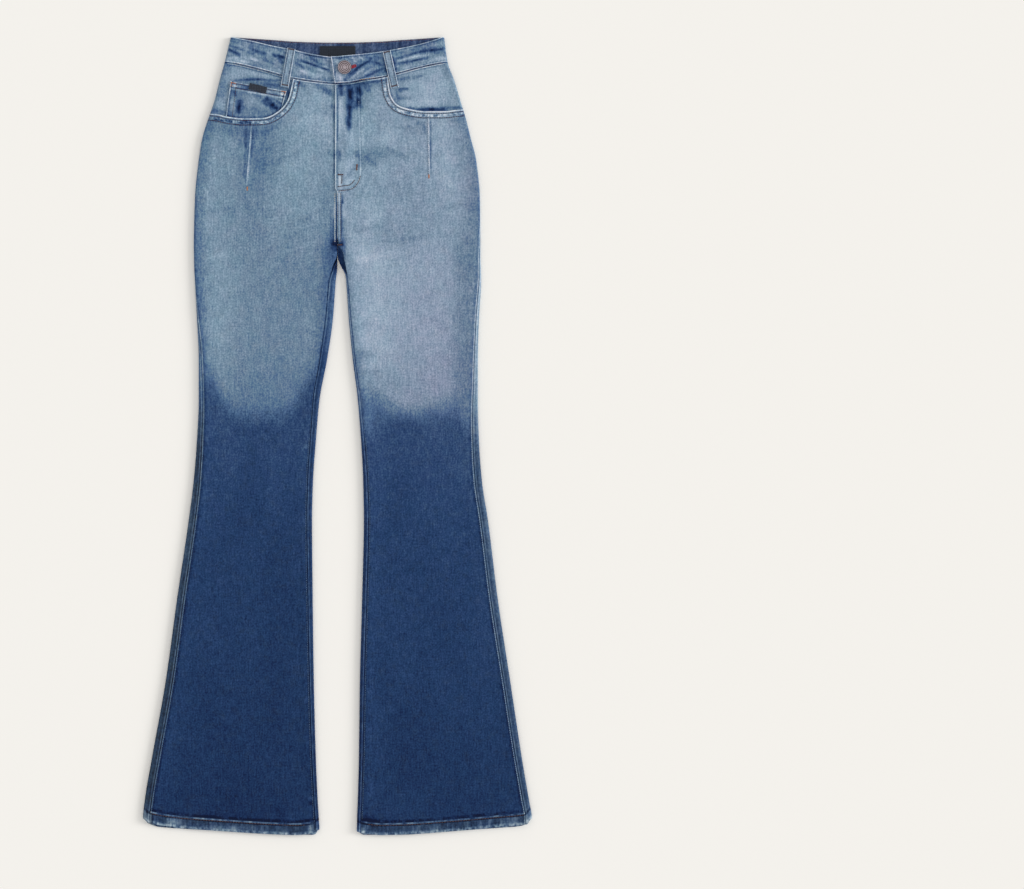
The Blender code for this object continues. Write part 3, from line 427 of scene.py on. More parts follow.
Mark = namedtuple("Mark", "x0 y0 x1 y1 width amount")
FRONT_MARKS = table(Mark,
    # fly: painted shade in the dark streaks under the waist seam and down beside the fly, and pale and dark patches
    # about the turn
    (350, 84, 349.6, 130, 4.2, -0.42), (349, 85, 349, 104, 3.2, -0.04), (347.6, 86, 347, 112, 2.4, -0.12),
    (340.5, 84, 342, 97, 3.6, -0.4), (359, 84, 358.4, 109, 3.6, -0.34), (338, 84.6, 352, 85, 2.6, -0.24),
    (350, 84.6, 392, 80.5, 2.2, -0.2), (353, 86, 354, 97, 2.6, -0.16), (352, 88, 353, 104, 2, -0.12),
    (341, 98, 342, 132, 3.2, 0.11), (352.5, 108, 352, 150, 2.4, 0.06), (338, 153, 343, 157, 3, -0.08),
    (345, 150, 350, 158, 3, -0.08), (355, 152, 361, 156, 2.6, -0.12), (340, 165, 350, 168, 4, 0.06),
    (340, 176, 340.5, 187, 1.8, 0.22), (344, 184, 356, 178, 2.2, 0.1), (338.8, 193, 338.8, 203, 2.2, 0.26),
    (342.6, 194, 342.6, 204, 2, -0.34), (344, 199, 349, 199, 2, -0.1), (362, 84, 370, 92, 3, -0.16),
    (366, 84, 372, 88, 3, -0.14), (372, 82, 382, 87, 3.6, -0.1), (362, 112, 363, 148, 2.4, 0.07),
    (365, 156, 378, 168, 4, -0.08),
    # beside the fly on the other front
    (297, 83, 306, 88, 3.2, -0.2), (302, 83, 320, 88, 1.5, 0.14), (314, 86, 333, 92, 2.4, -0.22),
    (322, 90, 334, 96, 2.6, -0.18), (331, 106, 334, 108, 3, -0.14), (328, 152, 334, 157, 3, -0.1),
    (334.4, 84, 334.5, 186, 0.9, -0.24), (337.7, 84, 337.6, 186, 0.9, -0.26), (336, 88, 336, 186, 0.8, 0.16),
    (339.6, 108, 339.8, 136, 1.6, 0.1), (344, 146, 346, 160, 2.6, -0.06), (350, 150, 362, 160, 2.6, -0.1),
    (358, 150, 366, 154, 2.4, -0.1), (336, 150, 335, 158, 2, -0.1), (354, 86, 363, 96, 3.4, -0.16),
    (358, 98, 362, 112, 3, -0.14), (352, 96, 356, 110, 3, -0.14), (349, 116, 349, 134, 3.2, -0.14),
    (339.6, 150, 340.4, 162, 1.4, -0.16),
    # crotch: dark and pale lines of the felled seam, a dark bar at its end, and painted shade in the notch below it
    # where the legs part
    (335.2, 200, 335.2, 243, 1.6, 0.18), (336.9, 192, 336.9, 246, 1.2, -0.4), (339, 204, 339, 243, 1.7, 0.1),
    (341.6, 200, 341.6, 246, 1.2, -0.32), (333.6, 216, 333.4, 246, 0.9, -0.22), (331.5, 206, 331, 244, 2, -0.08),
    (330, 243, 344, 244, 2.6, -0.44), (331, 248, 343, 249, 3, -0.24), (343.2, 218, 344, 250, 2.6, -0.18),
    # below the right opening, the darts and round the pocket ends; the first mark is a painted shadow under the
    # opening's edge
    (212, 119, 244, 124, 3, -0.12), (243, 120, 254, 125, 3.4, -0.24), (246, 128, 246, 150, 3, -0.12),
    (254, 128, 251, 156, 3.2, -0.13), (252, 126, 247.6, 186, 1.3, 0.2), (247, 130, 244, 184, 1.6, -0.1),
    (262, 136, 284, 120, 3.4, -0.08), (258, 150, 276, 148, 3, -0.06), (270, 164, 290, 156, 3, -0.05),
    (428.3, 116, 429.3, 176, 1.1, 0.16), (430.4, 118, 430.8, 176, 1.3, -0.2), (424, 120, 425, 136, 3.6, -0.16),
    (417, 121, 421, 126, 3.4, -0.12), (402, 115, 416, 121, 3, -0.1), (446, 122, 462, 120, 2.4, -0.08),
    # faint pull lines across the hips and the thighs
    (346, 178, 372, 150, 3.2, -0.07), (352, 170, 382, 158, 3, -0.06), (384, 146, 410, 160, 3.6, -0.06),
    (362, 224, 402, 204, 3, 0.05), (350, 232, 392, 226, 3.4, -0.05), (380, 242, 430, 236, 3.6, -0.05),
    (352, 262, 400, 250, 3.6, 0.05), (296, 226, 328, 206, 3, -0.05), (280, 238, 326, 224, 3.4, -0.05),
    (284, 252, 328, 240, 3, 0.05), (440, 210, 474, 204, 3.4, -0.05), (200, 214, 240, 206, 3.4, -0.05),
    (202, 260, 236, 252, 3.6, 0.05), (306, 330, 322, 338, 3, -0.07), (308, 350, 322, 352, 3, -0.06),
    (354, 330, 372, 322, 3, -0.07), (356, 352, 378, 356, 3.4, -0.07), (358, 372, 384, 372, 3.2, -0.06),
    # short puckers beside the inner seams
    (303, 448, 308, 446, 2, 0.05), (301, 470, 307, 470, 2, 0.04), (302, 520, 308, 518, 2.2, 0.05),
    (303, 560, 309, 560, 2.2, 0.05), (304, 610, 310, 608, 2.2, 0.05), (304, 668, 310, 668, 2.4, 0.06),
    (305, 700, 311, 698, 2.2, 0.07), (306, 742, 312, 742, 2.4, 0.06), (308, 798, 314, 797, 2, 0.1),
    (307, 808, 314, 808, 2.4, 0.1), (307, 816, 313, 817, 2, 0.12), (309, 803, 315, 803, 2, -0.08),
    (366, 470, 372, 470, 2.4, 0.05), (367, 540, 373, 540, 2.4, 0.05), (368, 610, 372, 610, 2.4, 0.05),
    (367, 690, 372, 692, 2.4, 0.05), (366, 730, 372, 728, 2.2, 0.05), (366, 790, 371, 797, 2.4, 0.06),
    (364, 815, 374, 823, 3, -0.08), (370, 772, 372, 796, 2.4, 0.05))
print(len(FRONT_DABS), "dabs and", len(FRONT_MARKS), "marks on the fronts")

# %% Tone of a place on a leg


def dab_sum(x, drop, dabs):
    total = np.zeros_like(np.asarray(x, float))
    for d in dabs:
        c, s = math.cos(math.radians(d.turn)), math.sin(math.radians(d.turn))
        u = ((x - d.x) * c + (drop - d.drop) * s) / d.wide
        v = ((drop - d.drop) * c - (x - d.x) * s) / d.tall
        total = total + d.amount * np.exp(-1.6 * (u * u + v * v))
    return total


def mark_sum(x, drop, marks):
    px, py = x / MM_PER_PIXEL + PHOTO_CENTRE, drop / MM_PER_PIXEL + PHOTO_TOP
    total = np.zeros_like(np.asarray(px, float))
    for m in marks:
        run, fall = m.x1 - m.x0, m.y1 - m.y0
        length = math.hypot(run, fall)
        share = ((px - m.x0) * run + (py - m.y0) * fall) / length ** 2
        off = ((px - m.x0) * fall - (py - m.y0) * run) / length
        ends = np.maximum(np.abs(share - 0.5) - 0.36, 0) * length
        away = (off / m.width) ** 2 + (ends / max(1.6, 0.14 * length)) ** 2
        total = total + m.amount * np.exp(-2.2 * away)
    return total * (0.85 + 0.30 * uneven(x, drop, (6, 9), 33))


HUE_DABS = table(Dab,
    (-170, 130, 60, 120, 0, -0.25), (-50, 130, 60, 100, 0, -0.25), (40, 150, 40, 150, 0, -0.45),
    (134, 420, 60, 120, 0, 0.75), (160, 480, 50, 50, 0, 0.5), (96, 500, 50, 30, 0, 0.4),
    (-160, 330, 40, 150, 0, -0.25), (-60, 200, 50, 80, 0, -0.35), (186, 200, 18, 70, 0, 0.5))


def hue_of(x, drop):
    """Where the wash has left the blue a little lavender (above 0) or teal (below 0)."""
    return np.where(x < 0, -0.02, 0.14) * (1 - ramp(drop, 560, 660)) + dab_sum(x, drop, HUE_DABS)


def leg_tone(side, away, drop):
    """Brightness of the front's cloth before its small marks."""
    x = SIGN[side] * away
    out, inner = outer_fold(side, drop), inner_fold(side, drop)
    share = np.clip((out - away) / (out - inner), 0, 1)
    knee = read(KNEE, side, share) + 4 * uneven(x, drop, 26, 3)
    half = 21 + 64 * (share - 0.5) ** 2 + (10 * ramp(share, 0.6, 0.86) if side == "left" else 0)
    dark = ramp(drop, knee - half, knee + half)
    top = lerp(read(HIP, side, share), read(THIGH, side, share), ramp(drop, 240, 310))
    top = top - (0.06 if side == "right" else 0.045) * ramp(drop, 410, 520)
    low = read(CALF, side, share) + 0.04 * (1 - ramp(drop, 520, 700)) - 0.055 * ramp(drop, 600, 1150)
    tone = lerp(top, low, dark)
    return tone + dab_sum(x, drop, FRONT_DABS) + mark_sum(x, drop, FRONT_MARKS) + 0.012 * uneven(x, drop, (30, 60), 5)


sample = leg_tone("right", np.array([110.0, 130.0]), np.array([300.0, 850.0]))
print("tone at mid thigh and calf:", sample.round(2))

# %% [markdown]
# One recipe makes every denim.  The tone painted on the mesh is the base.  Fine noise gives the grain of
# the twill, long thin noise the upright slubs, and wide noise the blotches of the wash.  Near an edge or
# a seam the cloth is rubbed pale on its ridge and stays dark beside it, so each edge has a short profile
# read from the distance to it, broken up by noise.  Last, one ramp turns tone into indigo.

# %% Material tools
FAR = 60.0


class Recipe:
    """Short ways to add nodes to one material."""

    def __init__(self, name):
        self.material = bpy.data.materials.new(name)
        self.material.use_nodes = True
        self.tree = self.material.node_tree
        self.shader = self.tree.nodes["Principled BSDF"]
        self.place = self.node("ShaderNodeTexCoord").outputs["Object"]

    def node(self, kind, **settings):
        made = self.tree.nodes.new(kind)
        for name, value in settings.items():
            setattr(made, name, value)
        return made

    def put(self, socket, value):
        if isinstance(value, bpy.types.NodeSocket):
            self.tree.links.new(value, socket)
        else:
            socket.default_value = value

    def calc(self, how, a, b):
        made = self.node("ShaderNodeMath", operation=how)
        self.put(made.inputs[0], a)
        self.put(made.inputs[1], b)
        return made.outputs[0]

    def add(self, a, b):
        return self.calc("ADD", a, b)

    def times(self, a, b):
        return self.calc("MULTIPLY", a, b)

    def attribute(self, name):
        return self.node("ShaderNodeAttribute", attribute_name=name).outputs["Fac"]

    def fitted(self, *scale):
        """The piece's own coordinates, each times its number of `scale`."""
        made = self.node("ShaderNodeMapping")
        made.inputs["Scale"].default_value = scale
        self.put(made.inputs["Vector"], self.place)
        return made.outputs["Vector"]

    def noise(self, across, down, detail=2.0):
        """Noise centred on 0, its grains `across` by `down` millimetres."""
        made = self.node("ShaderNodeTexNoise")
        self.put(made.inputs["Vector"], self.fitted(1000 / across, 1000 / down, 1000 / across))
        made.inputs["Scale"].default_value = 1.0
        made.inputs["Detail"].default_value = detail
        return self.calc("SUBTRACT", made.outputs["Fac"], 0.5)

    def bands(self, way, place, scale, distortion=0.0, detail=2.0):
        made = self.node("ShaderNodeTexWave", wave_type="BANDS", bands_direction=way)
        self.put(made.inputs["Vector"], place)
        for name, value in (("Scale", scale), ("Distortion", distortion), ("Detail", detail)):
            made.inputs[name].default_value = value
        return made.outputs["Fac"]

    def blend(self, value, stops):
        """Colours that change with a value: stops are (value, colour) pairs."""
        made = self.node("ShaderNodeValToRGB")
        self.put(made.inputs["Fac"], value)
        for k, (where, colour) in enumerate(stops):
            stop = made.color_ramp.elements[k] if k < 2 else made.color_ramp.elements.new(where)
            stop.position = where
            stop.color = (*colour, 1.0)
        return made.outputs["Color"]

    def profile(self, distance, stops):
        """A curve over a distance up to FAR: stops are (millimetres, amount) pairs."""
        greys = [(where / FAR, [amount / 2 + 0.5] * 3) for where, amount in stops]
        level = self.blend(self.calc("DIVIDE", distance, FAR), greys)
        return self.times(self.calc("SUBTRACT", level, 0.5), 2.0)

    def colours(self, value, stops):
        return self.blend(value, [(where, to_linear(*levels)) for where, levels in stops])

    def finish(self, colour, rough, height=None, depth=0.3, specular=0.1):
        self.put(self.shader.inputs["Base Color"], colour)
        self.put(self.shader.inputs["Roughness"], rough)
        self.shader.inputs["Specular IOR Level"].default_value = specular
        if height is not None:
            bump = self.node("ShaderNodeBump")
            bump.inputs["Strength"].default_value = 0.6
            bump.inputs["Distance"].default_value = depth * MM
            self.put(bump.inputs["Height"], height)
            self.put(self.shader.inputs["Normal"], bump.outputs["Normal"])
        return self.material


# %% Denim
INDIGO = [(0.10, (12, 23, 52)), (0.16, (18, 36, 74)), (0.243, (32, 58, 97)), (0.29, (42, 67, 110)),
          (0.33, (54, 80, 117)), (0.41, (75, 103, 141)), (0.46, (90, 117, 146)), (0.52, (109, 133, 156)),
          (0.57, (123, 146, 168)), (0.62, (137, 159, 181)), (0.71, (164, 182, 201)), (0.86, (212, 220, 229))]
WORN = [(0.10, (24, 26, 36)), (0.16, (34, 40, 50)), (0.243, (47, 62, 78)), (0.29, (57, 74, 92)),
        (0.33, (67, 84, 102)), (0.41, (89, 105, 121)), (0.46, (101, 118, 134)), (0.52, (119, 134, 147)),
        (0.57, (133, 147, 159)), (0.62, (147, 160, 171)), (0.71, (172, 183, 191)), (0.86, (213, 220, 226))]


def denim(name, grain, profiles):
    """profiles are (attribute, stops, size of the break-up noise, share of the break-up)."""
    r = Recipe(name)
    tone = r.attribute("tone")
    fine = r.noise(2.2, 2.5)
    marks = r.times(fine, 0.42 * grain)
    # slubs, wefts and blotches
    for noise, share in ((r.noise(1.9, 13.0), 0.26), (r.noise(10.0, 1.9), 0.10), (r.noise(11.0, 13.0, 3.0), 0.10)):
        marks = r.add(marks, r.times(noise, share * grain))
    # half-faded cloth shows its grain most, dark and nearly white cloth least
    least = r.calc("MINIMUM", r.add(r.times(tone, 1.1), 0.32), r.add(r.times(tone, -0.92), 1.33))
    total = r.add(tone, r.times(marks, least))
    for attribute, stops, size, share in profiles:
        line = r.profile(r.attribute(attribute), stops)
        patchy = r.calc("MAXIMUM", r.add(r.times(r.noise(*size), 4.0 * share), 1.0), 0.0)
        total = r.add(total, r.times(line, patchy))
    twill = r.bands("DIAGONAL", r.fitted(1000.0, 560.0, 0.0), 0.30, 1.5, 1.0)
    height = r.add(r.times(fine, 0.8), r.times(twill, 0.5))
    # the wash leaves greyer places, most of all on rubbed seams and hems
    greyed = r.add(r.times(r.noise(9.0, 9.0, 3.0), 0.8), r.attribute("worn"))
    greyed = r.calc("MINIMUM", r.calc("MAXIMUM", greyed, 0.0), 1.0)
    both = r.node("ShaderNodeMix", data_type="RGBA")
    r.put(both.inputs["Factor"], greyed)
    r.put(both.inputs["A"], r.colours(total, INDIGO))
    r.put(both.inputs["B"], r.colours(total, WORN))
    # hue 1 adds a little red and takes a little green, which turns the blue to lavender; -1 is teal
    hue = r.add(r.attribute("hue"), r.times(r.noise(16.0, 20.0, 3.0), 1.6))
    shift = r.node("ShaderNodeVectorMath", operation="SCALE")
    shift.inputs[0].default_value = (0.10, -0.035, 0.0)
    r.put(shift.inputs["Scale"], hue)
    tinted = r.node("ShaderNodeVectorMath", operation="MULTIPLY_ADD")
    r.put(tinted.inputs[0], both.outputs["Result"])
    r.put(tinted.inputs[1], shift.outputs["Vector"])
    r.put(tinted.inputs[2], both.outputs["Result"])
    return r.finish(tinted.outputs["Vector"], 0.86, height, 0.35, 0.08)


OPENING_EDGE = [
    ("opening", [(0, 0.25), (1.4, 0.22), (2.1, -0.10), (3.6, -0.10), (4.2, 0.0), (8.0, 0.0), (8.5, -0.12),
                      (10.0, -0.12), (10.6, 0.0), (14, 0.0)], (6.0, 6.0), 0.5),
    ("opening", [(0, 0.0), (3.8, 0.0), (4.4, 0.16), (7.6, 0.16), (8.2, 0.0)], (3.6, 3.6), 1.4),
    ("opening", [(0, 0.0), (3.8, 0.0), (4.4, -0.15), (7.6, -0.15), (8.2, 0.0)], (5.5, 5.5), 1.6)]
SEAM_EDGE = ("seam", [(0, 0.18), (1.1, 0.18), (1.7, -0.07), (3.0, -0.07), (6.0, 0.0)], (4.0, 9.0), 0.4)
HEM_EDGE = [
    ("hem", [(0, 0.20), (2.4, 0.14), (5.0, 0.0)], (4.4, 6.0), 1.6),
    ("hem", [(0, 0.0), (1.5, 0.022), (11.5, 0.022), (12.6, 0.0)], (2.8, 24.0), 2.8),
    ("hem", [(0, 0.0), (2.0, 0.036), (11.5, 0.036), (12.6, 0.0)], (9.0, 20.0), 4.0),
    ("hem", [(0, 0.0), (12.2, 0.0), (12.6, -0.13), (14.2, -0.13), (14.8, 0.17), (16.4, 0.14), (17.0, -0.09),
                  (19.4, -0.09), (22, 0.0)], (8.0, 9.0), 1.3)]
LINE_EDGE = ("line", [(0, 0.13), (1.0, 0.08), (1.8, -0.08), (3.2, 0.0)], (5.0, 8.0), 0.5)
front_cloth = denim("washed denim of the fronts", 1.0, [*OPENING_EDGE, SEAM_EDGE, *HEM_EDGE, LINE_EDGE])
back_cloth = denim("denim of the backs", 0.9, [
    ("seam", [(0, -0.10), (0.9, -0.10), (1.5, 0.09), (2.5, 0.09), (3.2, -0.05), (5.0, -0.03), (7.0, 0.03), (10, 0.0)],
     (4.0, 14.0), 0.7),
    *HEM_EDGE[:3],
    ("hem", [(0, 0.0), (12.4, 0.0), (13.2, -0.12), (15.8, -0.12), (16.8, 0.0)], (5.0, 9.0), 0.4)])
facing_cloth = denim("denim of the pockets", 1.0, [
    ("opening", [(0, 0.16), (1.2, 0.12), (1.9, -0.10), (3.0, -0.10), (4.0, 0.04), (6.6, 0.04), (7.4, -0.14),
                      (8.8, -0.14), (9.4, 0.10), (11.0, 0.08), (12, 0.0)], (5.0, 5.0), 0.8),
    ("seam", [(0, 0.22), (1.0, 0.20), (1.6, -0.12), (2.6, -0.12), (4.0, 0.0)], (5.0, 5.0), 0.6)])
band_cloth = denim("denim of the waistband", 1.1, [
    ("seam", [(0, 0.20), (0.9, 0.18), (1.5, -0.16), (2.5, -0.14), (4.0, 0.0)], (5.0, 6.0), 0.4),
    ("low", [(0, -0.16), (0.5, -0.20), (1.3, -0.20), (2.0, 0.20), (2.7, 0.16), (3.4, -0.06), (5.0, 0.0)],
     (5.0, 6.0), 0.6)])
print("denims:", front_cloth.name, "|", back_cloth.name, "|", facing_cloth.name, "|", band_cloth.name)

# %% [markdown]
# A cut piece is a sheet with two faces and a rim.  It starts as a flat grid with numbered columns and
# rows, the grid is extruded once so that it has a second face, and then every point is moved to its
# place on the form, the first face outside and the second inside.  The same numbers give each point its
# tone and its distances to edges, which are stored on the mesh for the material.

# %% Making a sheet of cloth


def spread(*parts):
    """Numbers from one value to the next in equal steps: each part is (from, to, steps)."""
    runs = [np.linspace(a, b, n + 1)[1:] for a, b, n in parts]
    return np.concatenate([[parts[0][0]], *runs])


def store(mesh, key, numbers):
    """A number for each point of the mesh, which its material reads by this key."""
    mesh.attributes.new(key, "FLOAT", "POINT").data.foreach_set("value", numbers.astype(np.float32))


def cloth_piece(name, cols, rows, face, values, material, is_open=None, inner_values=None):
    """face(c, w, "outer" or "inner") places the points of a face, values(c, w) gives their numbers."""
    across, down = len(cols) - 1, len(rows) - 1
    bm = bmesh.new()
    bmesh.ops.create_grid(bm, x_segments=across, y_segments=down, size=1.0)
    if is_open:
        gone = []
        for cell in bm.faces:
            x, y = cell.calc_center_median().xy
            u, v = (x + 1) / 2 * across, (1 - y) / 2 * down
            if is_open(np.interp(u, range(across + 1), cols), np.interp(v, range(down + 1), rows)):
                gone.append(cell)
        bmesh.ops.delete(bm, geom=gone, context="FACES")
    grown = bmesh.ops.extrude_face_region(bm, geom=bm.faces[:], use_keep_orig=True)
    second = {g for g in grown["geom"] if isinstance(g, bmesh.types.BMVert)}
    flat = np.array([v.co.xy for v in bm.verts])
    c = cols[np.rint((flat[:, 0] + 1) / 2 * across).astype(int)]
    w = rows[np.rint((1 - flat[:, 1]) / 2 * down).astype(int)]
    inside = np.array([v in second for v in bm.verts])
    spots = np.where(inside[:, None], face(c, w, "inner"), face(c, w, "outer"))
    for vert, spot in zip(bm.verts, spots):
        vert.co = spot
    bmesh.ops.recalc_face_normals(bm, faces=bm.faces[:])
    mesh = mesh_from(bm, name)
    backing = inner_values(c, w) if inner_values else {}
    for key, numbers in values(c, w).items():
        store(mesh, key, np.where(inside, backing.get(key, numbers), numbers))
    return add_piece(name, mesh, material)


def both_sides(name, cols, rows, face, values, material):
    """A right and a left piece, from functions that take the side first."""
    return {side: cloth_piece(name + "_" + side, cols, rows, partial(face, side), partial(values, side), material)
            for side in SIDES}


def add_piece(name, mesh, material, angle=50):
    mesh.shade_smooth()
    mesh.set_sharp_from_angle(angle=math.radians(angle))
    mesh.materials.append(material)
    piece = bpy.data.objects.new(name, mesh)
    bpy.context.collection.objects.link(piece)
    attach(piece, "root")
    mesh.calc_loop_triangles()
    print(name, len(mesh.loop_triangles), "triangles")
    return piece


# %% [markdown]
# The fronts run from the pocket curve and the waist seam down to the hem.  What lies under a front shows
# through it as a gentle rise: the facing, the coin pocket, the fly.  On top come the things a needle
# makes: the doubled pocket edge, the darts, the fly's shape, the felled crotch seam and the roped hem.

# %% Lines sewn on the fronts
DARTS = {"right": (119.4, 121.0, 126.7, 212.0), "left": (127.4, 108.4, 128.8, 195.0)}
POCKET_POINTS = range(len(POCKET_EDGE))


def waist_seam(side, away):
    """Drop of the seam under the band; past the centre line it goes on level."""
    return read(WAISTS, side + "_seam", np.maximum(away, 0))


def pocket_curve(side):
    """The opening's edge as distances away and drops, from the side fold to the waist seam."""
    drops = np.array([getattr(row, side + "_drop") for row in POCKET_EDGE], float)
    aways = np.array([getattr(row, side + "_away") for row in POCKET_EDGE], float)
    insets = np.array([row.inset for row in POCKET_EDGE])
    aways = np.where(aways > 0, aways, outer_fold(side, drops) - insets)
    drops[-1] = float(waist_seam(side, aways[-1])) + SEAM
    return aways, drops


def nearest_on(points_a, points_d, away, drop):
    """Distance to a line of points, and the length along it to the nearest place."""
    best = np.full(np.shape(away), 1e9)
    run_at = np.zeros(np.shape(away))
    run = 0.0
    for k in range(len(points_a) - 1):
        da, dd = points_a[k + 1] - points_a[k], points_d[k + 1] - points_d[k]
        length = math.hypot(da, dd)
        share = np.clip(((away - points_a[k]) * da + (drop - points_d[k]) * dd) / length ** 2, 0, 1)
        off = np.hypot(points_a[k] + da * share - away, points_d[k] + dd * share - drop)
        run_at = np.where(off < best, run + share * length, run_at)
        best = np.minimum(best, off)
        run += length
    return best, run_at


FINE_STEPS = np.linspace(0, 9, 73)
OPENINGS = {side: [smooth(POCKET_POINTS, line, FINE_STEPS) for line in pocket_curve(side)] for side in SIDES}


def fly_line(step):
    """The curved stitch of the fly, from the waist seam down and back to its edge; step runs 0 to 1."""
    straight, turn = 0.70, 0.86
    angle = part(step, straight, turn) * math.pi / 2
    away = np.where(step < straight, lerp(29.5, 32.5, step / straight), 32.5 - 19.0 * (1 - np.cos(angle)))
    drop = np.where(step < straight, lerp(66.0, 189.0, step / straight), 189.0 + 24.7 * np.sin(angle))
    tail = part(step, turn, 1)
    return lerp(away, 0.0, tail), lerp(drop, 215.6, tail)


FLY_A, FLY_D = fly_line(np.linspace(0, 1, 60))
steps = np.hypot(*np.diff(OPENINGS["right"], axis=1))
print("pocket opening", round(float(steps.sum())), "mm along its edge")

# %% Rises and ridges of the fronts


def front_lift(side, away, drop, off):
    """How far the front rides over what lies beneath it; off is the distance from the opening."""
    inset = outer_fold(side, drop) - away
    lift = 0.8 * ramp(inset, 3, 13) * (1 - ramp(off, 28, 46))
    if side == "right":
        coin = ramp(168 - away, 0, 10) * (1 - ramp(off, 8, 20)) * (1 - ramp(66 - away, 0, 12))
        return lift + 1.3 * coin
    return lift + 1.6 * (1 - ramp(away, 10, 26)) * (1 - ramp(drop, 217, 228))


FOLDS = {
    "right": table(Crease,
        (14, 262, 96, 226, 9, 0.45), (10, 282, 100, 262, 10, 0.4), (12, 300, 90, 296, 9, 0.35),
        (150, 250, 198, 236, 9, 0.3), (160, 330, 198, 322, 10, 0.3), (20, 340, 100, 352, 12, 0.3),
        (30, 470, 100, 452, 12, 0.35), (150, 520, 196, 505, 10, 0.35), (30, 700, 80, 760, 16, 0.3),
        (180, 880, 240, 930, 16, 0.3)),
    "left": table(Crease,
        (14, 258, 110, 214, 9, 0.45), (12, 280, 96, 256, 10, 0.4), (14, 300, 100, 292, 9, 0.35),
        (150, 240, 198, 230, 9, 0.3), (140, 352, 198, 340, 10, 0.3), (24, 350, 96, 362, 12, 0.3),
        (40, 480, 110, 470, 12, 0.35), (160, 500, 198, 512, 10, 0.35), (40, 760, 100, 720, 16, 0.3),
        (190, 900, 246, 880, 16, 0.3)),
}


def dart_off(side, away, drop):
    """Signed distance across the dart, positive towards the side, and how much of it is there."""
    a0, d0, a1, d1 = DARTS[side]
    length = math.hypot(a1 - a0, d1 - d0)
    share = ((away - a0) * (a1 - a0) + (drop - d0) * (d1 - d0)) / length ** 2
    off = ((away - a0) * (d1 - d0) - (drop - d0) * (a1 - a0)) / length
    there = ramp(share, -0.08, 0.0) * (1 - ramp(share, 0.97, 1.03))
    return off, there


def front_relief(side, away, drop, off, run, side_off, inner_off, hem_off):
    """What sewing, folds and wear raise on the outer face; the last five are distances to its edges."""
    x = SIGN[side] * away
    rise = 0.45 * (1 - ramp(off, 8.6, 10.6)) + 0.14 * np.sin(run / 1.05 + off * 0.4) * (1 - ramp(off, 5, 9))
    rise = rise * (1 - ramp(outer_fold(side, drop) - away, 4, 0.5))
    below_waist = drop - waist_seam(side, away)
    rise = rise + 0.3 * (1 - ramp(below_waist, 6, 9)) * ramp(below_waist, 0, 1.5) * ramp(80 - away, 0, 12)
    across, there = dart_off(side, away, drop)
    rise = rise + there * (0.45 * np.exp(-(across / 1.6) ** 2)
                           + 0.25 * ramp(across, -1, 1.5) * ramp(9 - across, 0, 6))
    rise = rise + 0.22 * (1 - ramp(side_off, 8, 12)) * ramp(side_off, 0.8, 2.5) * ramp(drop, 230, 300)
    rise = rise + 0.22 * (1 - ramp(inner_off, 7, 11)) * ramp(inner_off, 0.8, 2.5) * ramp(drop, 300, 330)
    if side == "left":
        off_fly, _ = nearest_on(FLY_A, FLY_D, away, drop)
        rise = rise - 0.3 * np.exp(-(off_fly / 1.6) ** 2)
        fell = ramp(drop, 214, 219) * (1 - ramp(drop, 290, 296))
        rise = rise + fell * (0.55 * (1 - ramp(away - inner_fold(side, drop), 7.0, 9.5)))
    else:
        rise = rise * np.where(drop < 240, ramp(away, -1, 8), 1.0)
    middle = ramp(hem_off, 14, 60) * ramp(outer_fold(side, drop) - away, 4, 26) * ramp(inner_off, 3, 20)
    rise = rise + middle * (0.30 * uneven(x, drop, (46, 74), 7) + 0.12 * uneven(x, drop, (20, 26), 9))
    rise = rise + middle * sum(c.height * ridge(away, drop, c) for c in FOLDS[side])
    rope = np.sin((x + 0.7 * hem_off) / 1.25 + 2.2 * uneven(x, 0 * x, 18, 11))
    rise = rise + 0.16 * rope * (1 - ramp(hem_off, 13, 17)) - 0.22 * np.exp(-((hem_off - 12.6) / 1.2) ** 2)
    return rise


print("darts:", {side: round(math.hypot(d[2] - d[0], d[3] - d[1])) for side, d in DARTS.items()}, "mm long")

# %% Front panels
FRONT_OFFSETS = [SEAM, 2.2, 4.4, 15.6]
TRIM = 14.0


def hem_drop(side, inset):
    """Drop of the hem's edge that far in from the outer fold."""
    width = outer_fold(side, HEM_LEVEL) - inner_fold(side, HEM_LEVEL)
    return read(HEMS, side, np.clip(inset / width, 0, 1))


def seam_along(side, which, drop):
    """Cloth length from a fold to the seam beside it, on top."""
    return read(SEAM_LINES, side + "_" + which, drop)


def panel_rows(w, top, bottom):
    """Row numbers to drops: 0 to 1 the top part, 1 to 3 the leg, 3 to 4 the hem; and the thickness there."""
    levels = (top, HIP_ROW, LOW_ROW, bottom - HEM_DEPTH, bottom)
    drop = lerp(top, HIP_ROW, part(w, 0, 1))
    for k in (1, 2, 3):
        drop = np.where(w > k, lerp(levels[k], levels[k + 1], part(w, k, k + 1)), drop)
    return drop, lerp(DENIM, HEM_THICK, ramp(w, 3.0, 3.06))


def hem_sizes(side):
    """The leg's width at the hem, and the cloth from its folds to the side seam and the inner seam."""
    wide = outer_fold(side, HEM_LEVEL) - inner_fold(side, HEM_LEVEL)
    return [float(v) for v in (wide, seam_along(side, "side", HEM_LEVEL), seam_along(side, "inner", HEM_LEVEL))]


def front_top(side, c):
    aways, drops = pocket_curve(side)
    away, drop = smooth(POCKET_POINTS, aways, c), smooth(POCKET_POINTS, drops, c)
    inner = float(inner_fold(side, 70.0))
    past = np.interp(c, [9, 10, 11, 12], [aways[-1], 48.0, inner + TRIM, inner])
    seam = waist_seam(side, past) + SEAM
    return np.where(c > 9, past, away), np.where(c > 9, seam, drop)


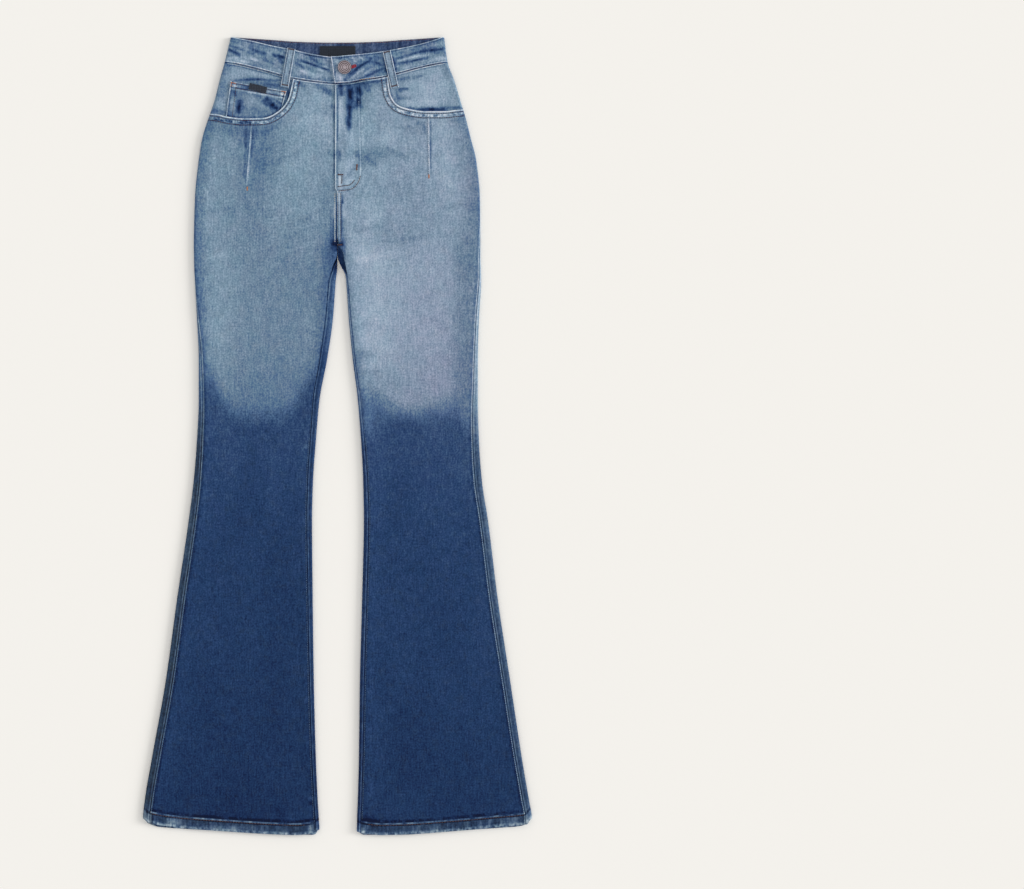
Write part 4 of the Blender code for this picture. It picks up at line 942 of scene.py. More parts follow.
def front_spot(side, c, w):
    """Everything known of a place on the front by its column and row."""
    top_away, top_drop = front_top(side, c)
    share, past = part(c, 3, 11), part(c, 11, 12)
    from_seam = np.interp(c, range(4), FRONT_OFFSETS)
    wide, side_low, inner_low = hem_sizes(side)
    low_inset = FOLD_R - QUARTER + side_low + from_seam
    low_inset = lerp(low_inset, wide - TRIM, share)
    low_inset = lerp(low_inset, wide + QUARTER - FOLD_R - inner_low, past)
    bottom = hem_drop(side, low_inset)
    drop, thick = panel_rows(w, top_drop, bottom)
    out, inner = outer_fold(side, drop), inner_fold(side, drop)
    side_seam, inner_seam = seam_along(side, "side", drop), seam_along(side, "inner", drop)
    first = out - (FOLD_R + side_seam + FRONT_OFFSETS[3] - QUARTER)
    last = inner + np.maximum(TRIM, inner_seam + 9)
    away = lerp(first, last, share)
    top_inset = outer_fold(side, top_drop) - top_away
    last_away, last_drop = front_top(side, np.full_like(c, 11.0))
    top_inset = np.where(c > 11, outer_fold(side, last_drop) - last_away, top_inset)
    away = np.where(w < 1, out - lerp(top_inset, out - away, part(w, 0, 1) ** 0.8), away)
    by_side = side_seam + from_seam
    along_out = np.where(c <= 3, by_side, cloth_from_fold(out - away))
    along_last = QUARTER + (away - inner) - FOLD_R
    along_in = lerp(along_last, inner_seam + SEAM, past)
    away = np.where(c <= 3, out - np.maximum(0.0, FOLD_R + by_side - QUARTER), away)
    away = np.where(c > 11, inner + np.maximum(0.0, FOLD_R + along_in - QUARTER), away)
    off, run = nearest_on(*OPENINGS[side], away, drop)
    side_off = np.where(c <= 3, from_seam, FRONT_OFFSETS[3] + first - away)
    inner_off = np.where(c > 11, along_in - inner_seam, away - inner - inner_seam)
    return SimpleNamespace(drop=drop, thick=thick, away=away, along_out=along_out, along_in=along_in, off=off,
                           run=run, side_off=side_off, inner_off=inner_off, hem_off=bottom - drop)


def front_face(side, c, w, which):
    s = front_spot(side, c, w)
    lift = front_lift(side, s.away, s.drop, s.off) + 0.5 * (s.thick - DENIM)
    if which == "outer":
        lift = lift + front_relief(side, s.away, s.drop, s.off, s.run, s.side_off, s.inner_off, s.hem_off)
    else:
        lift = lift - s.thick
    a0, z0 = place(side, s.drop, "out", s.along_out, lift)
    a1, z1 = place(side, s.drop, "in", s.along_in, lift)
    return to_world(side, np.where(c > 11, a1, a0), s.drop, np.where(c > 11, z1, z0))


def front_values(side, c, w):
    s = front_spot(side, c, w)
    away, drop = s.away, s.drop
    below_waist = np.where(c >= 9, drop - waist_seam(side, away), FAR)
    seam = np.minimum(np.maximum(below_waist, 0), np.where(drop > 220, s.side_off, FAR))
    seam = np.minimum(seam, np.maximum(s.inner_off, 0) + (FAR if side == "right" else FAR * ramp(drop, 280, 300)))
    across, there = dart_off(side, away, drop)
    line = np.abs(across) + FAR * (1 - there)
    if side == "left":
        off_fly, _ = nearest_on(FLY_A, FLY_D, away, drop)
        line = np.minimum(line, off_fly)
    quiet = lerp(1.9, 0.7, ramp(drop, 380, 480)) + FAR * (1 - ramp(drop, 280, 300))
    line = np.minimum(line, np.maximum(s.inner_off, 0) + quiet)
    worn = 0.5 * (1 - ramp(s.hem_off, 14, 18)) + 0.25 * (1 - ramp(s.side_off, 1, 4)) * ramp(drop, 480, 540)
    return {"tone": leg_tone(side, away, drop), "opening": s.off, "seam": seam, "hem": s.hem_off,
            "line": np.minimum(line, FAR), "worn": worn, "hue": hue_of(SIGN[side] * away, drop)}


FRONT_COLS = spread((0, 2, 5), (2, 3, 6), (3, 4, 8), (4, 6, 26), (6, 9, 22), (9, 11, 26), (11, 12, 9))
PANEL_ROWS = spread((0, 0.3, 14), (0.3, 1, 30), (1, 2, 232), (2, 3, 9), (3, 4, 11))
fronts = both_sides("front", FRONT_COLS, PANEL_ROWS, front_face, front_values, front_cloth)

# %% [markdown]
# Each back is the wider half of a leg.  It lies under the front and rolls round both folds, so from
# above it shows as a strip beside each seam.  Its columns follow the cloth: over the top, round the
# outer fold, across the underside, and round the inner fold to the inner seam.  The yokes close it at
# the waist and follow the same seam, a hair apart.

# %% Back panels
UNDER_EDGE = 22.0
HEM_ROW = 13.7
HEM_SEWN = 1100.0
GROOVE = 0.55


def yoke_drop(away):
    """The yoke's seam slopes down from the side to the centre of the back."""
    return lerp(106.0, 73.0, away / 168.0)


def under_place(side, drop, step):
    """Distance away on the underside: step 0 beside the outer fold, 1 beside the inner one."""
    return lerp(outer_fold(side, drop) - UNDER_EDGE, inner_fold(side, drop, "back") + TRIM, step)


def yoke_seam(side, c):
    """Drop of the seam under the yoke at a column of the back."""
    drop = np.full(np.shape(c), 80.0)
    for _ in range(5):
        out = outer_fold(side, drop)
        away = lerp(out, under_place(side, drop, part(c, 6, 10)), part(c, 5, 6))
        away = lerp(away, SEAM, part(c, 10, 11))
        drop = yoke_drop(away)
    return drop


def round_fold(seam, k):
    """Cloth length from a fold at step k: 0 at the seam on top, 5 where the underside begins."""
    even = lerp(seam, -QUARTER, k / 5)
    by_quarter = np.where(k < 1, lerp(seam, QUARTER, k), QUARTER * (1 - (k - 1) / 2))
    return lerp(even, by_quarter, ramp(seam, 5.2, 8.0))


def back_spot(side, c, w):
    wide, side_low, inner_low = hem_sizes(side)
    by_out = fold_inset(round_fold(side_low, np.clip(c, 0, 5)))
    by_in = wide - fold_inset(round_fold(inner_low, np.clip(16 - c, 0, 5)))
    low_inset = np.where(c <= 5, by_out, np.where(c >= 11, by_in, lerp(FOLD_R, wide - FOLD_R, (c - 5) / 6)))
    bottom = hem_drop(side, low_inset)
    drop, thick = panel_rows(w, yoke_seam(side, c) + SEAM, bottom)
    side_end = seam_along(side, "side", drop) - SEAM
    inner_end = (seam_along(side, "inner", drop) - SEAM) * curl(drop, "back")
    along_out = round_fold(side_end, np.clip(c, 0, 5))
    along_in = round_fold(inner_end, np.clip(16 - c, 0, 5))
    under = under_place(side, drop, part(c, 6, 10))
    under = np.where(c < 6, lerp(outer_fold(side, drop) - FOLD_R, under, c - 5), under)
    under = np.where(c > 10, lerp(under, inner_fold(side, drop, "back") + FOLD_R, c - 10), under)
    return SimpleNamespace(drop=drop, thick=thick, along_out=along_out, along_in=along_in, under=under,
                           side_off=side_end - along_out, inner_off=inner_end - along_in, hem_off=bottom - drop)


def back_face(side, c, w, which):
    s = back_spot(side, c, w)
    depth = np.zeros_like(s.drop) if which == "outer" else -s.thick
    seam_off = np.where(c <= 5, s.side_off, s.inner_off)
    over = np.where(c <= 5, s.along_out, s.along_in) > QUARTER
    pressed = 0.25 * (1 - ramp(seam_off, 5, 8)) * ramp(seam_off, 0.2, 1.0) if which == "outer" else 0.0
    lift = depth + np.where(over, 0.5 * (s.thick - DENIM) + pressed, 0.0)
    a0, z0 = place(side, s.drop, "out", s.along_out, lift, "back")
    a1, z1 = place(side, s.drop, "in", s.along_in, lift, "back")
    z2 = under_height(side, s.under, s.drop) - depth
    if which == "outer":  # the thread of the hem draws a groove in, so the row doesn't touch the table
        groove = ramp(s.hem_off, HEM_ROW - 2.0, HEM_ROW - 0.7) * (1 - ramp(s.hem_off, HEM_ROW + 0.7, HEM_ROW + 2.0))
        z2 = z2 + GROOVE * groove * ramp(c, 5.0, 5.4) * (1 - ramp(c, 10.6, 11.0))
    away = np.where(c <= 5, a0, np.where(c >= 11, a1, s.under))
    z = np.where(c <= 5, z0, np.where(c >= 11, z1, z2))
    return to_world(side, away, s.drop, z)


def back_values(side, c, w):
    s = back_spot(side, c, w)
    drop, right = s.drop, side == "right"
    out_knee, in_knee = (520, 470) if right else (532, 545)
    bulge = np.sin(part(c, 5, 11) * math.pi)
    half = lerp(52 if right else 64, 36, ramp(c, 5.5, 10))
    knee = lerp(np.where(c < 8, out_knee, in_knee), 500, np.clip(bulge, 0, 1))
    dark = ramp(drop, knee - half, knee + half)
    edge = np.maximum(1 - ramp(c, 4.6, 6.0), ramp(c, 10, 11.4))
    strip_top, strip_low = (0.42, 0.26) if right else (0.59, 0.33)
    top = lerp(0.50 + 0.05 * bulge, np.where(c < 8, strip_top, 0.345 if right else 0.43), edge)
    top = top - np.where(c < 8, 0.0, 0.07 if right else 0.03) * edge * ramp(drop, 400, 470)
    low = lerp(0.25, np.where(c < 8, strip_low, 0.255), edge)
    tone = lerp(top, low, dark) - 0.03 * ramp(drop, 700, 1000) + 0.07 * edge * (c < 8) * ramp(drop, 1060, 1085)
    rub = np.clip(np.abs(c - 2.0) / 1.6, 0, 1)
    tone = tone + 0.05 * (1 - rub) * dark * ramp(uneven(drop, 0 * drop, (60, 20), 8), -0.6, 0.6)
    # painted shade: the back's cloth in the gap between the legs, under the crotch, is darkened as the shadow there
    tone = tone - 0.22 * ramp(drop, 284, 298) * (1 - ramp(drop, 318, 338)) * ramp(c, 9.4, 10.6)
    on_side = np.where(drop > 240, np.maximum(s.side_off, 0), FAR)
    seam = np.where(c <= 5, on_side, np.where(c >= 11, np.maximum(s.inner_off, 0), FAR))
    return {"tone": tone + 0.02 * uneven(drop, c * 9, (50, 20), 6), "seam": np.minimum(seam, FAR),
            "hem": s.hem_off, "worn": lerp(0.75 if right else 0.45, 0.15, ramp(c, 5.0, 7.5)) * dark,
            "hue": 0.4 * ramp(c, 7, 10) * (not right)}


BACK_COLS = spread((0, 1, 5), (1, 5, 12), (5, 6, 6), (6, 10, 20), (10, 11, 4), (11, 15, 12), (15, 16, 4))
backs = both_sides("back", BACK_COLS, PANEL_ROWS, back_face, back_values, back_cloth)

# %% Yokes


def yoke_face(side, c, w, which):
    step, last = part(c, 6, 10), part(c, 10, 11)
    at_waist = under_place(side, np.full(np.shape(c), 38.0), step)
    nominal = lerp(lerp(158.0, at_waist, part(c, 5, 6)), SEAM, last)
    top = read(WAISTS, "back_seam", nominal) + SEAM
    drop = lerp(top, yoke_seam(side, c) - SEAM, w)
    depth = 0.0 if which == "outer" else -DENIM
    a0, z0 = place(side, drop, "out", lerp(-SEAM, -QUARTER, part(c, 3, 5)), depth, "back")
    under = under_place(side, drop, step)
    under = np.where(c < 6, lerp(outer_fold(side, drop) - FOLD_R, under, c - 5), under)
    under = lerp(under, SEAM, last)
    z1 = under_height(side, under, drop) - depth
    return to_world(side, np.where(c <= 5, a0, under), drop, np.where(c <= 5, z0, z1))


def yoke_values(_, c, w):
    tone = 0.47 + 0.04 * np.sin(c * 0.5) - 0.05 * (1 - ramp(c, 4.5, 6))
    return {"tone": tone, "seam": np.minimum(w, 1 - w) * 40, "hem": FAR, "worn": 0.0, "hue": 0.0}


YOKE_COLS = spread((3, 5, 8), (5, 6, 5), (6, 10, 24), (10, 11, 4))
yokes = both_sides("yoke", YOKE_COLS, spread((0, 1, 14)), yoke_face, yoke_values, back_cloth)

# %% [markdown]
# Behind each curved opening lies a facing of the same denim, so that no pocket bag shows.  The wearer's
# right one carries the small coin pocket, whose folded top is sewn twice, and a woven tab.  They lie a
# little lower than the front, which leaves the shadow line under the pocket's rolled edge, and that line is also
# painted on their cloth as shade.

# %% Facings
FACING_AT = {"right": (145.0, 128.0, 111.0, 94.0, 78.0, 61.6, 48.0),
             "left": (142.0, 128.0, 114.0, 100.0, 86.0, 70.6, 56.0)}
# The dark dab at 106 mm out and 58 mm down is painted shadow below the band's seam.
FACING_DABS = table(Dab,
    (-96, 66, 50, 5, 8, -0.04), (-150, 60, 30, 12, 0, 0.08), (-110, 52, 40, 5, 14, 0.06),
    (-168, 94, 18, 28, 0, 0.11), (84, 84, 14, 14, -20, -0.06), (-128, 50, 56, 9, 8, 0.08),
    (132, 70, 40, 18, 0, 0.04), (100, 76, 18, 6, -10, -0.05), (106, 58, 34, 5, -12, -0.09),
    (112, 92, 40, 9, 0, 0.05), (150, 96, 20, 8, 0, -0.03))
FACING_MARKS = table(Mark,
    # over the coin pocket, with painted shadow in the two dark lines just above its top, and beside it
    (232, 80.8, 262, 79.4, 1.9, -0.26), (256, 79.6, 283, 81, 1.9, -0.2), (264, 84, 284, 86.5, 2.6, -0.12),
    (226, 84, 222, 104, 2.4, -0.05), (215, 98, 224, 106, 3, 0.05), (288, 90, 290, 99, 2.2, -0.24),
    (212, 110, 228, 113, 2.2, -0.2),
    # inside the other opening, with painted shade in the dark line along the opening's edge, under the band's seam and
    # under the loop's end
    (417, 109.6, 447, 109.4, 2.7, -0.46), (406, 108, 420, 109.4, 2, -0.18), (440, 108.4, 461, 107.4, 1.8, -0.2),
    (392, 80.5, 411, 77.5, 2.6, -0.18), (396.5, 89.6, 409, 88.9, 1.8, -0.24), (395.5, 98.6, 413, 98.2, 2.2, -0.12),
    (412, 79, 423, 75.6, 1.3, -0.18), (395, 88, 399, 100, 2, -0.18), (400, 93, 420, 92, 2.4, 0.06),
    (404, 81, 440, 74, 3, 0.05), (399, 91, 402, 91.5, 2, -0.2))


def facing_bottom(side, away):
    """Drop of the facing's hidden lower edge: it follows the opening, 14 mm further in."""
    drop = getattr(POCKET_EDGE[3], side + "_drop")
    low = max(getattr(row, side + "_drop") for row in POCKET_EDGE)
    fold = float(outer_fold(side, drop))
    shape = math.sqrt(max(0.0, 1 - ((away - 112.0) / 66.0) ** 2)) if away < 112.0 else 1.0
    reach = lerp(float(waist_seam(side, FACING_AT[side][-1])) + 18.0, low + 14.0, shape)
    return lerp(drop - 0.6, reach, float(ramp(fold - away, 14, 40)))


def facing_lines(side):
    """Top and bottom of the facing at its numbered columns from 3 on."""
    at = np.array(FACING_AT[side])
    share = (at[0] - at) / (at[0] - at[-1])
    low_drop = getattr(POCKET_EDGE[3], side + "_drop")
    low_away = lerp(float(outer_fold(side, low_drop)) - 14.0, at[-1], share)
    low = [low_drop - 2 * SEAM] + [facing_bottom(side, a) for a in low_away[1:]]
    return at, waist_seam(side, at) + SEAM, low_away, np.array(low)


def facing_spot(side, c, w):
    """Cloth length from the outer fold, distance away, drop, and how far in from the fold."""
    at, high, low_away, low = facing_lines(side)
    k = np.arange(3, 3 + len(at))
    drop = lerp(smooth(k, high, c), smooth(k, low, c), w)
    away = lerp(smooth(k, at, c), smooth(k, low_away, c), w)
    along = cloth_from_fold(outer_fold(side, drop) - away)
    edge_away = outer_fold(side, 40.0) - np.interp(c, [0, 1, 2], [0.0, 0.8, 2.8])
    edge_low = np.interp(c, [0, 1, 2], [getattr(POCKET_EDGE[i], side + "_drop") - 2 * SEAM for i in range(3)])
    edge_drop = lerp(waist_seam(side, edge_away) + SEAM, edge_low, w)
    edge_along = np.interp(c, [0, 1, 2], [SEAM, 2.2, 4.4])
    mix = part(c, 2, 3)
    drop, along = lerp(edge_drop, drop, mix), lerp(edge_along, along, mix)
    inset = fold_inset(along)
    return along, outer_fold(side, drop) - inset, drop, inset


def under_front(side, away, drop):
    """Height of a facing's outer face."""
    return top_height(side, away, drop) - 0.8 * ramp(outer_fold(side, drop) - away, 3, 13)


def facing_face(side, c, w, which):
    along, _, drop, inset = facing_spot(side, c, w)
    depth = -0.8 * ramp(inset, 3, 13) - (0.0 if which == "outer" else THIN)
    a, z = place(side, drop, "out", along, depth)
    return to_world(side, a, drop, z)


def facing_values(side, c, w):
    _, away, drop, inset = facing_spot(side, c, w)
    x = SIGN[side] * away
    off, _ = nearest_on(*OPENINGS[side], away, drop)
    base = 0.50 if side == "right" else 0.61
    tone = base - 0.07 * (1 - ramp(inset, 2, 16)) + dab_sum(x, drop, FACING_DABS)
    below = drop - waist_seam(side, away)
    # painted shade along the opening, where the facing goes under the front's rolled edge
    tone = tone - 0.10 * (1 - ramp(off, 1.0, 4.5))
    tone = tone + mark_sum(x, drop, FACING_MARKS) + 0.03 * uneven(x, drop, (14, 9), 13)
    return {"tone": tone, "opening": FAR, "seam": np.where(c > 2, np.maximum(below, 0), FAR), "worn": -0.14,
            "hue": 0.0}


facings = both_sides("facing", spread((0, 2, 6), (2, 3, 6), (3, 9, 60)), spread((0, 1, 44)), facing_face,
                     facing_values, facing_cloth)

# %% Coin pocket
COIN_LOW = (115.0, 120.5, 121.5, 121.5, 119.5, 115.0, 106.5)
COIN_DABS = table(Dab, (-112, 92, 18, 12, 0, 0.08), (-146, 112, 8, 6, 0, -0.05))
COIN_MARKS = table(Mark,
    (234.5, 91, 236, 97, 2.6, -0.28), (240, 99, 238.6, 115, 3.6, -0.3), (233.5, 100, 234, 112, 2.4, 0.12),
    (266, 97, 274, 111, 4.2, -0.34), (272, 104, 278, 110, 3.2, -0.3), (262, 100, 268, 107, 2.6, -0.2),
    (276, 101, 281, 104, 1.8, -0.18), (266, 94.5, 277, 98, 1.6, 0.12), (271, 110, 276, 106, 1.4, 0.12),
    (247, 92, 266, 95.4, 1.5, 0.16), (241, 87, 249, 88.6, 2.8, -0.2), (252, 94, 262, 97, 2.4, -0.12),
    (242, 96, 256, 99, 3, 0.05), (279, 97, 283, 98, 1.2, 0.2), (279, 101, 282, 102, 1.2, 0.2),
    (235.2, 85.4, 235.6, 87, 2.2, 0.36), (282.6, 93.2, 282.6, 95.4, 2.2, 0.36), (250, 108, 268, 112, 3, -0.06),
    (268, 90.4, 279, 92.4, 2, 0.08))


COIN_WIDE = 78.0
TAB_AT = (111.0, 71.5)


def coin_heights(c):
    """Drops of the folded top edge and of the lower edge at a column; there are six columns' widths."""
    return lerp(61.5, 75.5, c / 6), smooth(range(7), COIN_LOW, c)


def coin_spot(c, w):
    top_d, low_d = coin_heights(c)
    top_a, low_a = lerp(149.0, 71.0, c / 6), lerp(156.5, 79.5, c / 6)
    return lerp(top_a, low_a, w), lerp(top_d, low_d, w)


def coin_edges(c, w):
    """Distances to the folded top edge, and to the nearer side."""
    top_d, low_d = coin_heights(c)
    return w * (low_d - top_d), np.minimum(c, 6 - c) / 6 * COIN_WIDE


def coin_face(c, w, which):
    away, drop = coin_spot(c, w)
    top_off, side_off = coin_edges(c, w)
    low = GAP + (THIN if which == "outer" else 0.0)
    if which == "outer":
        tab_near = np.hypot((away - TAB_AT[0]) / 15, (drop - TAB_AT[1]) / 8)
        low = low + 0.3 * (1 - ramp(top_off, 8, 10)) * ramp(tab_near, 0.9, 1.5) + 0.2 * (1 - ramp(side_off, 6, 8))
        low = low - 0.2 * ramp(drop, 96, 104)
    return to_world("right", away, drop, under_front("right", away, drop) + low)


def coin_values(c, w):
    away, drop = coin_spot(c, w)
    top_off, side_off = coin_edges(c, w)
    off, _ = nearest_on(*OPENINGS["right"], away, drop)
    tone = 0.49 + dab_sum(-away, drop, COIN_DABS) + mark_sum(-away, drop, COIN_MARKS)
    # the last term is painted shade along the opening, where the coin pocket goes under the front's rolled edge
    tone = tone + 0.04 * uneven(away, drop, (10, 7), 15) - 0.12 * (1 - ramp(off, 1.0, 4.5))
    return {"tone": tone, "opening": np.minimum(top_off, FAR), "seam": np.minimum(side_off, FAR), "worn": -0.12,
            "hue": 0.0}


coin_pocket = cloth_piece("coin_pocket_cloth", spread((0, 6, 64)), spread((0, 0.3, 11), (0.3, 1, 22)), coin_face,
                          coin_values, facing_cloth)

# %% [markdown]
# The waistband is one long strip with its ends over each other at the button.  It goes from the underlap
# across the front, round the fold, along the back and round again.  Stations name the places along it,
# and between two stations of one kind the fine columns go on in equal steps.  A buttonhole is left open
# where the shank of the button comes through.

# %% Stations of the waistband
TAB_END = 5.5
BAND_WIDE = 38.0
Station = namedtuple("Station", "where away cells")
BAND_STATIONS = [Station(where, away, cells) for where, cells, aways in (
    ("under_tab", 5, (-34, -14)), ("right_top", 8, (8, 37, 48, 61.6, 78, 94, 111, 128)), ("right_top", 3, (145,)),
    ("right_fold", 4, (90, 45, 0, -45, -90)), ("right_back", 14, (136, 105.5, 75, 44.5)), ("right_back", 6, (14,)),
    ("left_back", 6, (0,)), ("left_back", 14, (14, 44.5, 75, 105.5)), ("left_back", 4, (136,)),
    ("left_fold", 4, (-90, -45, 0, 45)), ("left_fold", 3, (90,)), ("left_top", 8, (142, 128, 114, 100, 86)),
    ("left_top", 12, (70.6,)), ("left_top", 6, (48, 37)), ("left_top", 8, (26,)), ("left_top", 6, (7,)),
    ("left_top", 1, (-TAB_END,))) for away in aways]
BAND_DABS = table(Dab,
    (-136, 34, 26, 5, -10, 0.03), (4, 40, 6, 14, 0, 0.08), (2, 60, 10, 5, 0, 0.08), (-136, 40, 22, 16, 10, 0.07),
    (-98, 46, 20, 12, 10, 0.03), (-14, 46, 14, 18, 0, 0.08), (124, 12, 40, 8, -8, -0.04))
BAND_MARKS = table(Mark,
    # over the pocket at the picture's left
    (228.5, 49.5, 241, 56, 1.9, -0.3), (229, 45.6, 245, 50.6, 1.5, -0.16), (251, 49.6, 267, 54.4, 2.6, -0.24),
    (240, 56.6, 258, 61, 1.6, 0.14), (246, 45, 262, 47, 2, -0.08), (272, 54.6, 286, 58.6, 2.6, -0.3),
    (278, 57.6, 284, 64, 2.6, -0.26), (262, 59, 276, 66, 2.2, -0.1), (228, 58, 246, 62, 2.6, 0.08),
    (232, 67, 268, 73, 3, 0.05), (244, 64, 270, 67.6, 1.6, -0.08), (230, 41.6, 246, 42.6, 2.2, -0.1),
    # between the loop and the tab's end
    (299, 60.6, 330, 71, 1.7, -0.34), (303, 54.4, 326, 58.2, 1.6, -0.26), (294.6, 61.6, 305, 69.4, 2.4, -0.32),
    (309, 57.4, 325, 67, 2.2, -0.16), (297, 71, 328, 76.6, 3, 0.12), (303, 63.4, 312, 66.4, 1.2, 0.1),
    (322, 77, 325, 77.4, 1.8, -0.16), (296, 56, 306, 60, 2.2, 0.06), (328.6, 60, 331.6, 84, 1.6, -0.18),
    # round the button
    (348, 76.6, 358, 68.8, 2.4, -0.34), (356, 69.6, 372, 60, 2.1, -0.34), (344.5, 81.4, 350, 76, 2.6, -0.24),
    (350.4, 80.4, 359, 72.4, 1.2, 0.26), (358.4, 72.6, 364.6, 70.2, 1.1, 0.22), (363, 75.4, 374, 67.6, 1.6, 0.14),
    (360.6, 79.6, 384, 68.4, 2, -0.22), (352, 58, 356, 62.4, 1.1, 0.24), (358, 55.6, 364, 60.6, 1.2, 0.22),
    (365, 57.4, 373, 59.4, 1.9, -0.2), (373, 61.6, 383, 66, 2.4, -0.18), (374, 56.6, 383, 59.6, 1.7, -0.12),
    (337.6, 61, 338.8, 68, 2.4, 0.1), (338, 73, 341, 81, 2.6, 0.16), (347, 58.4, 352, 60, 1.4, -0.12),
    (337.6, 58.6, 342, 59.4, 1.4, -0.12), (366, 72, 376, 76, 2, 0.08), (336.8, 70, 337.4, 83, 1.3, -0.2),
    # past the other loop; the two dark lines that run down that loop's sides, at 382.8 and 392.4, are painted shadow
    (395, 59.8, 421, 51.8, 2, -0.26), (416, 53, 446, 48.8, 2.6, -0.36), (394.4, 64.6, 431, 58.2, 1.6, -0.26),
    (411, 61.6, 430, 57.6, 1.5, -0.16), (395.4, 62.2, 417, 56.4, 1.2, 0.16), (414, 56.8, 430, 55.4, 1.2, 0.14),
    (404, 68, 424, 64.6, 2.6, 0.1), (428, 61, 446, 58.6, 2.6, 0.1), (424, 48.2, 444, 43.4, 2, 0.06),
    (392.4, 56, 396.6, 72, 1.7, -0.3), (382.8, 57, 388.8, 78, 2, -0.3), (332.8, 60, 336.3, 83, 0.8, 0.22),
    (432, 53.6, 446, 52.6, 1.6, -0.14))
print(len(BAND_STATIONS), "stations along the band,", len(BAND_MARKS), "marks on it")

# %% Places on the waistband


def side_of(where):
    return "left" if "left" in where else "right"


def tab_end(share):
    """How far past the centre line the band's upper end is cut, at a share of its width."""
    return lerp(8.8, 3.2, share)


def band_spot(where, spot, share):
    """Side, distance away and drop of a place on the band, at a station and a share of its width."""
    side = side_of(where)
    line = "back" if "back" in where else side
    if where == "under_tab":
        edge, seam, top_away = 28.5, float(read(WAISTS, "left_seam", -spot)) - 1.5, spot
    else:
        seam = float(read(WAISTS, line + "_seam", max(0.0, spot)))
        top_drop = read(WAISTS, line + "_edge", max(0.0, spot))
        lean = float(outer_fold(side, top_drop) - outer_fold(side, seam))
        top_away = spot + float(ramp(max(0.0, spot), 60, 149)) * lean
        edge = float(read(WAISTS, line + "_edge", max(0.0, top_away)))
    away = lerp(top_away, spot, share)
    if where == "left_top" and spot < 0:
        away = lerp(away, -tab_end(share), min(1.0, -spot / TAB_END))
    return side, away, lerp(edge, seam - SEAM, share)


LOOPS = {"right": (64.0, 15.7, 73.8, 70.0), "left": (69.0, 19.6, 80.5, 71.0)}


def band_relief(side, away, drop, share):
    """What sewing and wear raise on the band's outer face, which is level under the loops and the button."""
    x = SIGN[side] * away
    edge = np.minimum(share, 1 - share) * BAND_WIDE
    rise = 0.22 * (1 - ramp(edge, 6, 9)) + 0.09 * np.sin(x / 1.1 + 1.5 * uneven(x, 0 * x, 15, 21))
    rise = rise + 0.42 * uneven(x * 0.8 - 0.9 * SIGN[side] * drop, drop, (13, 11), 23)
    loop_x = lerp(LOOPS[side][0], LOOPS[side][2], np.clip((drop - 17) / 53, 0, 1))
    return np.maximum(rise, -0.5) * ramp(np.abs(away - loop_x), 5, 12) * ramp(np.abs(x + 3), 3, 8)


def band_place(where, spot, share, which, lift=0.0):
    """Points of a face at one station; at a fold, spot is the angle round it."""
    deep = 0.0 if which == "outer" else BAND
    if "fold" in where:
        side, drop, angle = side_of(where), lerp(0.0, 36.0 - SEAM, share), math.radians(spot)
        radius = BAND_FOLD_R - deep + lift
        away = outer_fold(side, drop) - BAND_FOLD_R + radius * math.cos(angle)
        return to_world(side, away, drop, BAND_FOLD_R + radius * math.sin(angle))
    side, away, drop = band_spot(where, spot, share)
    inset = outer_fold(side, drop) - away
    if "back" in where:
        z = UNDER_LIFT * ramp(inset, 8, 22) + (-lift if which == "outer" else BAND + lift)
        return to_world(side, away, drop, z)
    z = lerp(2 * BAND_FOLD_R, BAND_TOP, ramp(inset, BAND_FOLD_R, 30)) - deep + lift
    if side == "left":
        z = z + (BAND + GAP) * (1 - ramp(away, 38, 52))
    if which == "outer" and where != "under_tab":
        z = z + band_relief(side, away, drop, share) * ramp(inset, 4, 12)
    return to_world(side, away, drop, z)


def band_column(c):
    """The station before a column number, the one after it, and how far between."""
    k = min(int(c + 1e-9), len(BAND_STATIONS) - 2)
    return BAND_STATIONS[k], BAND_STATIONS[k + 1], c - k


def same_kind(a, b):
    return a.where == b.where or {a.where, b.where} == {"right_back", "left_back"} and b.away == 0


def band_face(c, w, which, lift=0.0):
    spots = np.zeros((len(c), 3))
    for number in np.unique(c):
        here = c == number
        a, b, t = band_column(number)
        if a.where == b.where or (same_kind(a, b) and "back" in a.where):
            spots[here] = band_place(a.where, lerp(a.away, b.away, t), w[here], which, lift)
        else:
            spots[here] = lerp(band_place(a.where, a.away, w[here], which, lift),
                               band_place(b.where, b.away, w[here], which, lift), t)
    return spots


ends = band_face(np.array([0.0, len(BAND_STATIONS) - 1.0]), np.array([0.5, 0.5]), "outer") / MM
print("the band's two ends overlap by", round(float(np.ptp(ends[:, 0]))), "mm")

# %% Waistband


